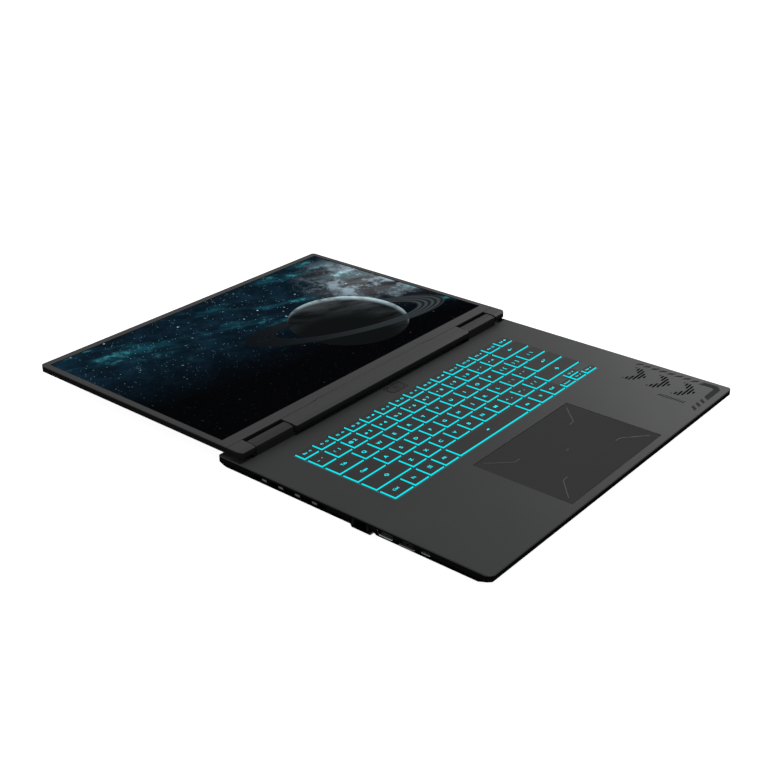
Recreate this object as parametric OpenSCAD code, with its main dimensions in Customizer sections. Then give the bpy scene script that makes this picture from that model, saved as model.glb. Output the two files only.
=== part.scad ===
// Sixteen inch laptop computer, opened flat: lengths in millimetres.
// X runs along the hinge, Y from the base (-Y) to the lid (+Y), Z up.
// The origin lies on the table, midway along the hinge axis and straight below it.

/* [Base housing] */
// Width of the base from side to side
base_w = 358.3; // [350:0.1:372]
// Distance from the hinge axis to the base's front edge and to the lid's free edge
half_depth = 241.6; // [240:0.1:252]
// Distance from the hinge axis to the rear edge of the base
rear_depth = 17; // [16.4:0.1:22]
// Height of the deck above the table
deck_z = 15.3; // [15.3:0.1:18]
// Height of the rubber feet
foot_h = 1.8; // [1.6:0.1:1.9]
// Height of the upright part of the side wall
side_h = 4.5; // [4.2:0.1:4.6]
// How far the side bevel runs inwards at the bottom
side_bevel = 7; // [5:0.1:7.5]
// How far the front bevel runs inwards at the bottom
front_bevel = 8.3; // [5:0.1:8.8]
// How far the slanting cut of the front corners runs inwards at the bottom
corner_bevel = 14.3; // [12:0.1:16]
// Radius of the front corners in plan
corner_r = 5; // [3:0.1:8]
// Wall of the bottom cover and of the sides
shell_t = 1.3; // [1.1:0.1:1.4]
// Thickness of the deck
deck_t = 1.6; // [1.4:0.1:1.8]
// Chamfer along the upper edge of the deck
deck_chamfer = 0.6; // [0.3:0.1:0.7]

/* [Hinge] */
// Height of the hinge axis above the deck
axis_rise = 5.2; // [5.1:0.1:5.6]
// Length of each hinge cover
barrel_l = 42; // [40:0.1:46]
// Distance from the side of the base to each hinge cover
barrel_side = 18.6; // [16:0.1:22]
// Gap between a hinge cover's end and the lid
barrel_gap = 1.1; // [0.8:0.1:1.4]
// Distance from the axis to the front of the hinge cover
barrel_front = 7.2; // [7:0.05:7.3]
// Radius of the hinge spindle
spindle_r = 1.7; // [1.4:0.05:1.75]
// Running clearance round the spindle
spindle_fit = 0.05; // [0.02:0.01:0.1]
// Diameter of a hinge screw
hinge_screw_d = 2.1; // [1.6:0.1:2.3]

/* [Lid] */
// How far the side of the lid stands back from the side of the base
lid_inset = 1.4; // [1.3:0.1:3]
// Thickness of the lid
lid_t = 6.4; // [6.2:0.1:6.8]
// Gap between the closed lid and the deck
lid_gap = 1; // [0.8:0.1:1.3]
// Width of the bezel along the sides of the screen
bezel_side = 5.8; // [5:0.1:9]
// Width of the bezel along the free edge
bezel_far = 7.2; // [7:0.1:10]
// Distance from the hinge axis to the near edge of the screen
screen_y = 19; // [18:0.1:21]
// Thickness of the bezel, which is how far the screen lies below it
bezel_t = 0.8; // [0.6:0.1:1]
// Gap behind the display panel
panel_gap = 0.6; // [0.4:0.1:1.2]
// How far the middle of the lid reaches in front of the axis
chin_reach = 9; // [8.4:0.1:9.2]
// How far the lid's outer ends reach in front of the axis
tab_reach = 7.4; // [6.8:0.1:7.6]
// Radius of the lid's four corners
lid_corner_r = 5.4; // [3:0.1:6.5]
// Radius of the chin's ends, beside the hinge covers
chin_corner_r = 3; // [1.5:0.1:4]

/* [Keyboard] */
// Distance from each side of the base to the keys
key_side = 37.7; // [37:0.1:42]
// Gap between neighbouring key caps in a row
key_gap = 2.2; // [1.9:0.1:2.6]
// Width of the tab key
tab_w = 28.2; // [24:0.1:30]
// Width of the caps lock key
caps_w = 33.1; // [28:0.1:36]
// Width of the left shift key
left_shift_w = 41.8; // [36:0.1:44]
// Width of the left control key
control_w = 21.5; // [17:0.1:24]
// Width of the last key in the top letter row
backslash_w = 25.7; // [20:0.1:30]
// Width of an arrow key
arrow_w = 15.2; // [13:0.1:16]
// Depth of the arrow keys
arrow_d = 7; // [6:0.1:7.2]
// Pitch from row to row
row_pitch = 18; // [17.6:0.1:18.4]
// Depth of a key cap
key_d = 14.9; // [14:0.1:15.4]
// Depth of a cap in the function row
function_key_d = 10.4; // [9:0.1:11]
// Distance from the hinge axis to the rear of the function row
keys_rear = 29.6; // [28:0.1:33]
// Height of the caps above the deck
key_proud = 0.9; // [0.6:0.1:1.2]
// Height of a cap
key_h = 1.8; // [1.5:0.1:2]
// Travel of a key
key_travel = 1.7; // [1:0.1:1.8]
// Gap between a cap and its cell in the deck
key_clear = 0.5; // [0.3:0.05:0.6]
// Slope of a cap's sides, measured inwards at the top
key_taper = 0.45; // [0.2:0.05:0.8]

/* [Touchpad and power button] */
// Width of the touchpad
pad_w = 133; // [100:1:150]
// Distance from the touchpad to the front edge of the base
pad_front = 7.6; // [6:0.1:20]
// Distance from the keys to the touchpad
pad_gap = 16; // [14:0.5:20]
// Thickness of the touchpad
pad_t = 1.7; // [1.2:0.1:1.8]
// Gap round the touchpad
pad_clear = 0.35; // [0.2:0.05:0.6]
// Width of the power button
power_w = 17.6; // [12:0.1:24]
// Depth of the power button
power_d = 9; // [6:0.1:9.4]
// Distance from the hinge axis to the middle of the power button
power_y = 16.8; // [16.4:0.1:20]
// Distance of the power button from the middle line, to the left
power_x = 1.2; // [0:0.1:6]

/* [Cooling] */
// Radius of a fan rotor
rotor_r = 31; // [26:0.5:31.5]
// Number of blades on a rotor
blade_n = 29; // [17:1:37]
// Distance from the side of the base to each fan's axis
fan_side = 61.2; // [55:0.1:68]
// Distance from the hinge axis to each fan
fan_y = 62; // [61:0.5:63]
// Pitch of the fins in the heat sinks
fin_pitch = 3.2; // [2.4:0.1:5]
// Width of a rib in the side vents
vent_rib = 5.5; // [3:0.1:8]
// Pitch of the ribs in the side vents
vent_pitch = 17; // [15:0.1:17.5]

/* [Ports] */
// Distance from the deck down to the upper edge of the ports
port_drop = 2.4; // [2.2:0.1:2.6]
// Distance from the side vents to the middle of the network socket
network_gap = 30.8; // [27:0.1:34]
// Distance from the network socket to the picture port
hdmi_gap = 23.8; // [21:0.1:26]
// Distance from the picture port to the left wide port
left_usb_gap = 19; // [17:0.1:21]
// Distance from the left wide port to the small oval port
oval_usb_gap = 16.7; // [15:0.1:19]
// Distance from the side vents to the power socket
dc_gap = 19.3; // [17:0.1:22]
// Distance from the power socket to the first wide port on the right, and on to the second
right_usb_gap = 24; // [21:0.1:27]
// Distance from the second wide port on the right to the headphone socket
audio_gap = 21; // [18:0.1:24]
// Radius of the headphone socket's bore
audio_r = 1.78; // [1.7:0.01:1.9]
// Depth of the headphone socket's bore
audio_depth = 13; // [11:0.1:13.5]

/* [Hidden] */

// Heights that the whole model hangs on
base_x = base_w / 2;
lid_x = base_x - lid_inset;
axis_z = deck_z + axis_rise;
split_z = deck_z - side_h;
floor_z = foot_h + shell_t;
deck_under = deck_z - deck_t;
bezel_z = 2 * axis_z - deck_z - lid_gap;
lid_z = bezel_z - lid_t;
screen_z = bezel_z - bezel_t;
lid_wall = 1;
eps = 0.01;
past = 5;
seat = 0.3;
big = 400;

// Screen and touchpad
screen_w = 2 * (lid_x - bezel_side);
screen_d = half_depth - bezel_far - screen_y;
keys_front = keys_rear + function_key_d + 5 * row_pitch;
pad_y = keys_front + pad_gap;
pad_d = half_depth - pad_front - pad_y;

// Places along the hinge
barrel_end = base_x - barrel_side;
barrel_x = barrel_end - barrel_l;
chin_x = barrel_x - barrel_gap;
tab_x = barrel_end + barrel_gap;
notch_y = barrel_front + 0.4;

// Places of the side vents and of the fans
vent_ribs = 4;
rib_first = -fan_y - 22;
vent_y0 = rib_first - vent_rib / 2 - 9;
vent_y1 = rib_first + (vent_ribs - 1) * vent_pitch + vent_rib / 2 + 9;
fan_x = base_x - fan_side;
housing_r = rotor_r + 4.5;

// Places of the ports along the sides
network_y = network_gap - vent_y0;
lock_y = 10 - vent_y0;
hdmi_y = network_y + hdmi_gap;
left_usb_y = hdmi_y + left_usb_gap;
oval_usb_y = left_usb_y + oval_usb_gap;
dc_y = dc_gap - vent_y0;
right_usb_y = [dc_y + right_usb_gap, dc_y + 2 * right_usb_gap];
audio_y = right_usb_y[1] + audio_gap;
jaw_l = 17;
jaw_w = 20.5;

// Shades of the pieces
deck_grey = [0.25, 0.25, 0.26];
side_grey = [0.1, 0.1, 0.11];
steel_grey = [0.62, 0.63, 0.65];
board_green = [0.05, 0.2, 0.16];
copper = [0.72, 0.42, 0.26];
black = [0.05, 0.05, 0.06];

// ---------- helpers ----------

// A polygon in X and Z, carried along Y
module along_y(points, y0, y1) {
    translate([0, y1, 0])
        rotate([90, 0, 0])
            linear_extrude(y1 - y0)
                polygon(points);
}

// A polygon in Y and Z, carried along X
module along_x(points, x0, x1) {
    translate([x0, 0, 0])
        rotate([90, 0, 90])
            linear_extrude(x1 - x0)
                polygon(points);
}

// A polygon in X and Y, carried up along Z
module along_z(points, z0, z1) {
    translate([0, 0, z0])
        linear_extrude(z1 - z0)
            polygon(points);
}

// A box given by its lowest and highest corners
module block(low, high) {
    translate(low)
        cube(high - low);
}

// A round bar along X about the point (y, z)
module bar_x(x0, x1, y, z, r) {
    translate([x0, y, z])
        rotate([0, 90, 0])
            cylinder(h = x1 - x0, r = r, $fn = 48);
}

// The same solid on the left and on the right
module both_sides() {
    children();
    mirror([1, 0, 0])
        children();
}

function arc(x, y, r, from, to, steps = 6) =
    [for (i = [0:steps]) let (a = from + (to - from) * i / steps) [x + r * cos(a), y + r * sin(a)]];

// Outline of a rectangle with its own radius at the near and at the far corners
function rounded(x, y0, y1, near_r, far_r) = concat(
    arc(-x + near_r, y0 + near_r, near_r, 180, 270),
    arc(x - near_r, y0 + near_r, near_r, 270, 360),
    arc(x - far_r, y1 - far_r, far_r, 0, 90),
    arc(-x + far_r, y1 - far_r, far_r, 90, 180)
);

// ---------- base housing ----------

rear_corner_r = 2.3;
bevel_h = split_z - foot_h;

// How far an inner face shifts sideways when a bevelled wall has thickness t
function bevel_shift(bevel, t) = t * sqrt(bevel * bevel + bevel_h * bevel_h) / bevel_h;

// One side of the base's section, from the bottom edge to the deck; t is the inset of the inner form
function bevelled_edge(reach, bevel, t, chamfer, top) = [
    [reach - bevel * (bevel_h - t) / bevel_h - bevel_shift(bevel, t), foot_h + t],
    [reach - t, split_z + (bevel_shift(bevel, t) - t) * bevel_h / bevel],
    [reach - t, top - chamfer],
    [reach - t - chamfer, top]
];

function reversed(list) = [for (i = [len(list) - 1:-1:0]) list[i]];

// Wedges that take the front corners off aslant, from the split down to the bottom
module corner_cuts(t) {
    start = -1.4 - bevel_shift(corner_bevel, t);
    both_sides()
        translate([base_x, -half_depth, 0])
            rotate([0, 0, -45])
                along_y([[start - corner_bevel * split_z / bevel_h, 0], [start, split_z],
                    [past, split_z], [past, 0]], -30, 30);
}

// The base's outer form, or its inner one with t set to the wall
module base_form(t, chamfer, top) {
    side = bevelled_edge(base_x, side_bevel, t, chamfer, top);
    front = bevelled_edge(half_depth, front_bevel, t, chamfer, top);
    rear = rear_depth - t;
    difference() {
        intersection() {
            along_z(rounded(base_x - t, -half_depth + t, rear, corner_r, rear_corner_r), 0, big);
            along_y(concat(side, [for (p = reversed(side)) [-p[0], p[1]]]), -big, big);
            along_x(concat([for (p = front) [-p[0], p[1]]],
                [[rear, top], [rear, foot_h + t + 1.2], [rear - 1.2, foot_h + t]]), -big, big);
        }
        corner_cuts(t);
    }
}

// Screw posts: where the bottom cover is screwed to the top case
posts = [
    [60, rear_depth - 5.6], [base_x - 11.2, rear_depth - 9], [base_x - 11.2, vent_y0 - 4.8],
    [base_x - 47.2, -half_depth + 76.6], [base_x - 56.7, -half_depth + 15.6]
];
post_r = 3;
pad_top = floor_z + 1.2;
screw_r = 1.2;
screw_top = pad_top + 4.5;

module at_posts() {
    for (p = posts)
        for (s = [-1, 1])
            translate([s * p[0], p[1], 0])
                children();
}

// The lid's lower edge turns down into a round trough behind the deck
trough_mid_r = sqrt(pow(chin_reach, 2) + pow(2.5, 2)) + 0.65;
trough_tab_r = sqrt(pow(tab_reach, 2) + pow(2.5, 2)) + 0.8;
trough_wall = 1.2;
trough_end = lid_x + 0.4;

module trough_solid() {
    intersection() {
        block([-big, -big, 0], [big, rear_depth - rear_corner_r, deck_z - eps]);
        union() {
            bar_x(-chin_x - 1.8, chin_x + 1.8, 0, axis_z, trough_mid_r + trough_wall);
            intersection() {
                both_sides()
                    bar_x(tab_x - 1.8, base_x - shell_t / 2, 0, axis_z, trough_tab_r + trough_wall);
                block([-big, -big, split_z], [big, big, big]);
            }
        }
    }
}

module trough_cut() {
    bar_x(-chin_x - 0.6, chin_x + 0.6, 0, axis_z, trough_mid_r);
    both_sides()
        bar_x(tab_x - 0.6, trough_end, 0, axis_z, trough_tab_r);
}

// Opening under each hinge cover, for the knuckle of the bracket
knuckle_x0 = barrel_x + 3.5;
knuckle_x1 = barrel_end - 10.5;
hinge_hole_y = 3.4;
foot_plate_t = 1.5;
foot_plate_y = 24;
hinge_screws_at = [for (t = [0, 0.5, 1]) [knuckle_x0 + 3.5 + t * (knuckle_x1 - knuckle_x0 - 5), -19]];

module top_case() color(deck_grey) {
    difference() {
        union() {
            difference() {
                intersection() {
                    base_form(0, deck_chamfer, deck_z);
                    block([-big, -big, split_z], [big, big, big]);
                }
                base_form(shell_t, 0, deck_under);
            }
            trough_solid();
            at_posts()
                translate([0, 0, pad_top])
                    cylinder(h = deck_under + eps - pad_top, r = post_r, $fn = 24);
        }
        trough_cut();
        port_openings();
        both_sides()
            side_vents_cut();
        at_posts()
            translate([0, 0, pad_top - eps])
                cylinder(h = screw_top + 0.5 - pad_top, r = screw_r + 0.1, $fn = 24);
        key_cells();
        along_z(rounded(pad_w / 2 + pad_clear, -pad_y - pad_d - pad_clear, -pad_y + pad_clear, 1, 1),
            deck_under - past, deck_z + past);
        along_z(cut_rectangle(power_w + 2 * power_clear, power_d + 2 * power_clear),
            deck_under - past, deck_z + past);
        both_sides()
            block([knuckle_x0 - 0.8, -hinge_hole_y, deck_under - past],
                [knuckle_x1 + 0.8, hinge_hole_y, deck_z + past]);
        both_sides()
            for (p = hinge_screws_at)
                translate([p[0], p[1], deck_under - eps])
                    cylinder(h = 1.1, r = hinge_screw_d / 2 + 0.1, $fn = 24);
    }
}

// Side vents: openings between broad ribs
vent_z0 = split_z - 2.8;
vent_z1 = deck_z - 2.8;
rear_vent_w = 70;
rear_rib_pitch = 10;

module side_vents_cut() {
    difference() {
        block([base_x - 9, vent_y0, vent_z0], [base_x + past, vent_y1, vent_z1]);
        for (i = [0:vent_ribs - 1])
            block([0, rib_first + i * vent_pitch - vent_rib / 2, 0],
                [big, rib_first + i * vent_pitch + vent_rib / 2, big]);
    }
}

module rear_vents_cut() {
    difference() {
        block([fan_x - rear_vent_w / 2, rear_depth - past, floor_z + 1],
            [fan_x + rear_vent_w / 2, rear_depth + past, split_z - 1.6]);
        for (i = [1:floor(rear_vent_w / rear_rib_pitch) - 1])
            block([fan_x - rear_vent_w / 2 + i * rear_rib_pitch - 0.8, 0, 0],
                [fan_x - rear_vent_w / 2 + i * rear_rib_pitch + 0.8, big, big]);
    }
}

// Intake grille under each fan: rows of slanted slots inside a circle
slot_w = 13;
slot_t = 3.4;
slot_pitch_x = 16.4;
slot_pitch_y = 6.6;
slot_lean = 2.4;

module intake_cut() {
    for (row = [-4:4])
        for (column = [-1.5:1:1.5])
            let (x = column * slot_pitch_x + (row % 2) * 2, y = row * slot_pitch_y)
                if (norm([x, y]) < rotor_r)
                    translate([fan_x + x, -fan_y + y, foot_h - past])
                        linear_extrude(shell_t + 2 * past - 3)
                            polygon([[-slot_w / 2, -slot_t / 2], [slot_w / 2 - slot_lean, -slot_t / 2],
                                [slot_w / 2, slot_t / 2], [-slot_w / 2 + slot_lean, slot_t / 2]]);
}

// Opening in the side wall round a port
module port_opening(y, w, h) {
    block([base_x - 9, -y - w / 2 - seat, port_top - h - seat],
        [base_x + past, -y + w / 2 + seat, port_top + seat]);
}

module port_openings() {
    mirror([1, 0, 0]) {
        port_opening(network_y, socket_w, port_top - socket_z0);
        port_opening(hdmi_y, hdmi_w, hdmi_h);
        port_opening(left_usb_y, usb_w, usb_h);
        port_opening(oval_usb_y, oval_w, (oval_h + 4.6) / 2);
    }
    for (y = right_usb_y)
        port_opening(y, usb_w, usb_h);
    port_opening(audio_y, audio_box, audio_box);
    port_opening(dc_y, dc_w, dc_h);
}

module bottom_cover() color(side_grey) {
    difference() {
        union() {
            difference() {
                intersection() {
                    base_form(0, deck_chamfer, deck_z);
                    block([-big, -big, 0], [big, big, split_z]);
                }
                base_form(shell_t, 0, deck_under);
                both_sides()
                    side_vents_cut();
            }
            intersection() {
                base_form(shell_t / 2, 0, deck_under);
                at_posts()
                    translate([0, 0, floor_z - eps])
                        cylinder(h = pad_top - floor_z + eps, r = post_r + 1, $fn = 24);
            }
            for (p = board_rests)
                translate([p[0], p[1], floor_z - eps])
                    cylinder(h = board_z - floor_z + eps, r = 2.4, $fn = 20);
        }
        both_sides() {
            rear_vents_cut();
            intake_cut();
        }
        at_posts() {
            translate([0, 0, foot_h - past])
                cylinder(h = past + 1.4, r = 2.9, $fn = 24);
            cylinder(h = pad_top + eps, r = screw_r + 0.15, $fn = 24);
        }
        port_openings();
        // lock slot, and the bay of the network socket's jaw
        block([-base_x - past, -lock_y - 2.7, split_z - 3.2],
            [-base_x + 9, -lock_y + 2.7, split_z - 0.9]);
        block([-base_x - past, -network_y - jaw_w / 2 - 0.5, -past],
            [-base_x + jaw_l + 2.4, -network_y + jaw_w / 2 + 0.5, split_z + past]);
    }
}

front_foot_x0 = base_x - 87;
front_foot_x1 = base_x - 29;
foot_w = 9;

module rubber_feet() color(black) {
    along_z(rounded(base_x - 31, -8, 4, 3, 3), 0, foot_h);
    both_sides()
        translate([(front_foot_x0 + front_foot_x1) / 2, -half_depth + 17, 0])
            along_z(rounded((front_foot_x1 - front_foot_x0) / 2, 0, foot_w, 3, 3), 0, foot_h);
}

module cover_screws() color(steel_grey)
    at_posts() {
        difference() {
            translate([0, 0, foot_h + 0.2])
                cylinder(h = 1.2, r = 2.6, $fn = 24);
            for (a = [0, 90])
                rotate([0, 0, a])
                    block([-1.4, -0.3, foot_h - past], [1.4, 0.3, foot_h + 0.7]);
        }
        translate([0, 0, foot_h + 1.4 - eps])
            cylinder(h = screw_top - foot_h - 1.4, r = screw_r, $fn = 24);
    }

// ---------- keyboard ----------

key_span = 2 * (base_x - key_side);
key_pitch = (key_span - tab_w - key_gap - backslash_w) / 12;
key_w = key_pitch - key_gap;

function row_y(n) = -keys_front + n * row_pitch;

// Widths of the caps in a row from left to right; the last one fills the row
function spread(widths, n) = n == 0 ? 0 : spread(widths, n - 1) + widths[n - 1] + key_gap;
function filled(widths) = concat(widths, [key_span - spread(widths, len(widths))]);
function letters(n) = [for (i = [1:n]) key_w];

// Caps of a row as [x, y, width, depth]
function row_caps(widths, n) =
    [for (i = [0:len(widths) - 1]) [-key_span / 2 + spread(widths, i), row_y(n), widths[i], key_d]];
function part(list, from, to) = [for (i = [from:to]) list[i]];

arrow_gap = 1.9;
arrow_x = key_span / 2 - 3 * arrow_w - 2 * arrow_gap;
space_w = arrow_x + key_span / 2 - control_w - 6 * key_w - 8 * key_gap;
function_n = 15;
escape_gap = key_gap + 0.7;
function_gap = (key_span - function_n * key_w - escape_gap) / (function_n - 2);

function_caps = [for (i = [0:function_n - 1])
    [-key_span / 2 + i * (key_w + function_gap) + (i > 0 ? escape_gap - function_gap : 0), row_y(5),
        key_w, function_key_d]];
number_caps = row_caps(filled(letters(13)), 4);
top_caps = row_caps(filled(concat([tab_w], letters(12))), 3);
home_caps = row_caps(filled(concat([caps_w], letters(11))), 2);
low_caps = row_caps(filled(concat([left_shift_w], letters(10))), 1);
modifier_caps = row_caps(concat([control_w], letters(3), [space_w], letters(3)), 0);
arrow_caps = [for (a = [[0, 0], [1, 0], [1, 1], [2, 0]])
    [arrow_x + a[0] * (arrow_w + arrow_gap), row_y(0) + a[1] * (key_d - arrow_d), arrow_w, arrow_d]];
all_caps = concat(function_caps, number_caps, top_caps, home_caps, low_caps, modifier_caps, arrow_caps);

// Steel plate's height: the caps stop just above it
plate_top = deck_z + key_proud - key_h - key_travel - 0.15;
plate_t = 0.7;
light_t = 0.4;
inner_top = plate_top - plate_t - light_t;
stem_r = 1.2;
stem_fit = 0.05;
stem_z = plate_top - 0.25;
cap_grey = [0.2, 0.2, 0.21];

// Caps: flat top, four sloping sides, and a round stem that slides in the plate
module caps(list) color(cap_grey)
    for (c = list) {
        x1 = c[0] + c[2];
        y1 = c[1] + c[3];
        z0 = deck_z + key_proud - key_h;
        z1 = deck_z + key_proud;
        t = key_taper;
        intersection() {
            along_y([[c[0], z0], [x1, z0], [x1 - t, z1], [c[0] + t, z1]], c[1] - 1, y1 + 1);
            along_x([[c[1], z0], [y1, z0], [y1 - t, z1], [c[1] + t, z1]], c[0] - 1, x1 + 1);
        }
        stem(c, stem_r, stem_z, z0 + eps);
    }

module stem(c, r, z0, z1) {
    translate([c[0] + c[2] / 2, c[1] + c[3] / 2, z0])
        cylinder(h = z1 - z0, r = r, $fn = 24);
}

// The two half-height arrow keys share one cell
module key_cells() {
    for (c = all_caps)
        block([c[0] - key_clear, c[1] - key_clear, deck_under - past],
            [c[0] + c[2] + key_clear, c[1] + c[3] + key_clear, deck_z + past]);
    block([arrow_caps[1][0] - key_clear, row_y(0), deck_under - past],
        [arrow_caps[1][0] + arrow_w + key_clear, row_y(0) + key_d, deck_z + past]);
}

module keys_function_row() caps(function_caps);
module keys_number_row() caps(part(number_caps, 0, 12));
module key_backspace() caps([number_caps[13]]);
module key_tab() caps([top_caps[0]]);
module keys_top_letter_row() caps(part(top_caps, 1, 13));
module key_caps_lock() caps([home_caps[0]]);
module keys_home_row() caps(part(home_caps, 1, 11));
module key_enter() caps([home_caps[12]]);
module key_left_shift() caps([low_caps[0]]);
module keys_bottom_letter_row() caps(part(low_caps, 1, 10));
module key_right_shift() caps([low_caps[11]]);
module key_space_bar() caps([modifier_caps[4]]);
module keys_modifier_row() caps(concat(part(modifier_caps, 0, 3), part(modifier_caps, 5, 7)));
module key_arrow_left() caps([arrow_caps[0]]);
module key_arrow_down() caps([arrow_caps[1]]);
module key_arrow_up() caps([arrow_caps[2]]);
module key_arrow_right() caps([arrow_caps[3]]);

// Steel plate under the keys, hung from the deck by its rim
plate_x = key_span / 2 + 5;
plate_y0 = -keys_front - 3.5;
plate_y1 = -keys_rear + 4.5;

module keyboard_plate() color(steel_grey) {
    difference() {
        block([-plate_x, plate_y0, plate_top - plate_t], [plate_x, plate_y1, deck_under]);
        block([-plate_x + 2, plate_y0 + 2, plate_top], [plate_x - 2, plate_y1 - 2, deck_under + past]);
        for (c = all_caps)
            stem(c, stem_r + stem_fit, plate_top - plate_t - past, plate_top + past);
    }
}

// Light guide glued under the plate
module backlight_sheet() color([0.6, 0.9, 0.95])
    difference() {
        block([-plate_x + 1, plate_y0 + 1, inner_top],
            [plate_x - 1, plate_y1 - 1, inner_top + light_t]);
        for (c = all_caps)
            stem(c, stem_r + 0.4, plate_top - plate_t - past, plate_top);
    }

// ---------- touchpad and power button ----------

pad_top_z = deck_z - 0.1;

module touchpad() color([0.15, 0.15, 0.16])
    along_z(rounded(pad_w / 2, -pad_y - pad_d, -pad_y, 0.8, 0.8), pad_top_z - pad_t, pad_top_z);

frame_top = pad_top_z - pad_t - 0.85;
module touchpad_frame() color(steel_grey) {
    // rib under the pad's rear edge, about which the pad tips
    block([-pad_w / 2 - 3, -pad_y - 1.5, frame_top - eps],
        [pad_w / 2 + 3, -pad_y + 2.5, pad_top_z - pad_t]);
    difference() {
        block([-pad_w / 2 - 6, -pad_y - pad_d - 4, frame_top - 0.7],
            [pad_w / 2 + 6, -pad_y + 3, deck_under]);
        block([-pad_w / 2 - 2, -pad_y - pad_d - 2, frame_top],
            [pad_w / 2 + 2, -pad_y + 2, deck_under + past]);
        for (i = [-2:2])
            block([i * pad_w / 5 - 9, -pad_y - pad_d + 30, 0],
                [i * pad_w / 5 + 9, -pad_y - 18, deck_z]);
    }
}

power_clear = 0.3;
power_cut = 2.9;

// Rectangle with two opposite corners cut off
function cut_rectangle(w, d) =
    let (x = w / 2, y = d / 2, c = power_cut)
    [for (p = [[-x, -y], [x - c, -y], [x, -y + c], [x, y], [-x + c, y], [-x, y - c]])
        p - [power_x, power_y]];

module power_button() color([0.16, 0.16, 0.17]) {
    along_z(cut_rectangle(power_w, power_d), deck_under - eps, deck_z + 0.1);
    along_z(cut_rectangle(power_w + 2, power_d + 2), deck_under - 1, deck_under);
}

// ---------- inner pieces of the base ----------

board_z = floor_z + 1.5;
board_t = 1.2;
board_top = board_z + board_t;
board_front = -134;
board_strip = -fan_y - housing_r - 4.5;
board_x = fan_x - housing_r - 6.5;
board_side = base_x - 8.2;
chip_x = board_x / 2;
neck_x = base_x - 31.2;
finger_x = base_x - 21.2;
finger_end = -oval_usb_y - 7;
jaw_bay_x = base_x - jaw_l - 4;
board_rests = [
    [-board_x + 6, board_strip + 6], [board_x - 6, board_strip + 6], [0, -30], [0, board_strip + 6],
    [-neck_x - 4, board_strip - 6], [neck_x + 2, board_strip - 16], [-80, board_front + 10],
    [80, board_front + 10]
];

module mainboard() color(board_green) {
    difference() {
        along_z([
            [-board_x, -10], [board_x, -10], [board_x, board_strip], [board_side, board_strip],
            [board_side, finger_end], [finger_x, finger_end], [finger_x, board_front],
            [-neck_x, board_front], [-neck_x, -hdmi_y - 2], [-finger_x, -hdmi_y - 2],
            [-finger_x, finger_end], [-board_side, finger_end], [-board_side, board_strip],
            [-board_x, board_strip]
        ], board_z, board_top);
        at_posts()
            translate([0, 0, board_z - eps])
                cylinder(h = board_t + 2 * eps, r = post_r + 0.5, $fn = 24);
        block([-base_x, -network_y - jaw_w / 2 - 1, 0], [-jaw_bay_x, -network_y + jaw_w / 2 + 1, big]);
    }
    // processor and graphics packages
    block([-chip_x - 20, -72, board_top], [-chip_x + 20, -44, plate_z]);
    block([chip_x - 20, -78, board_top], [chip_x + 20, -38, plate_z]);
    // power stage coils
    for (i = [0:7])
        block([-board_x + 6 + i * 9, -34, board_top], [-board_x + 13 + i * 9, -27, board_top + 2.6]);
}

// Pouch cells side by side in a shallow tray
battery_x = base_x - 61.7;
battery_y0 = -half_depth + 18;
battery_y1 = board_front - 3;
cell_n = 4;
module battery_pack() color(black) {
    block([-battery_x, battery_y0, floor_z], [battery_x, battery_y1, floor_z + 1]);
    for (i = [0:cell_n - 1])
        let (w = 2 * battery_x / cell_n)
            block([-battery_x + i * w + 0.8, battery_y0 + 1, floor_z + 0.5],
                [-battery_x + (i + 1) * w - 0.8, battery_y1 - 7, inner_top - 1.9]);
    block([-60, battery_y1 - 6, floor_z + 0.5], [60, battery_y1 - 1, floor_z + 5]);
}

// Blower fan: snail housing open to the rear and to the side, inlets above and below
fan_z = floor_z;
fan_h = inner_top - 1.4 - fan_z;
duct_h = axis_z - trough_mid_r - trough_wall - 0.8 - fan_z;
fan_wall = 0.8;
duct_y = -fan_y + housing_r + 4;
duct_x = fan_x + housing_r + 2;
inlet_r = rotor_r - 9;
bearing_r = 1.55;
shaft_r = 1.5;

module fan_housing() color(black)
    difference() {
        union() {
            translate([fan_x, -fan_y, fan_z])
                cylinder(h = fan_h, r = housing_r, $fn = 64);
            block([fan_x - housing_r, -fan_y, fan_z], [fan_x + housing_r, duct_y, fan_z + duct_h]);
            block([fan_x, -fan_y - 26, fan_z], [duct_x, -fan_y + 30, fan_z + duct_h]);
        }
        translate([fan_x, -fan_y, fan_z + fan_wall])
            cylinder(h = fan_h - 2 * fan_wall, r = housing_r - fan_wall, $fn = 64);
        block([fan_x - housing_r + fan_wall, -fan_y, fan_z + fan_wall],
            [fan_x + housing_r - fan_wall, duct_y + past, fan_z + duct_h - fan_wall]);
        block([fan_x, -fan_y - 26 + fan_wall, fan_z + fan_wall],
            [duct_x + past, -fan_y + 30 - fan_wall, fan_z + duct_h - fan_wall]);
        translate([fan_x, -fan_y, fan_z + fan_wall])
            cylinder(h = fan_h, r = inlet_r, $fn = 48);
        difference() {
            translate([fan_x, -fan_y, fan_z - past])
                cylinder(h = 2 * past, r = inlet_r, $fn = 48);
            translate([fan_x, -fan_y, 0])
                cylinder(h = big, r = 6, $fn = 32);
            for (a = [30, 150, 270])
                translate([fan_x, -fan_y, 0])
                    rotate([0, 0, a])
                        block([0, -2, 0], [inlet_r + 1, 2, big]);
        }
        translate([fan_x, -fan_y, fan_z - eps])
            cylinder(h = fan_wall + 2 * eps, r = bearing_r, $fn = 32);
    }

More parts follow.
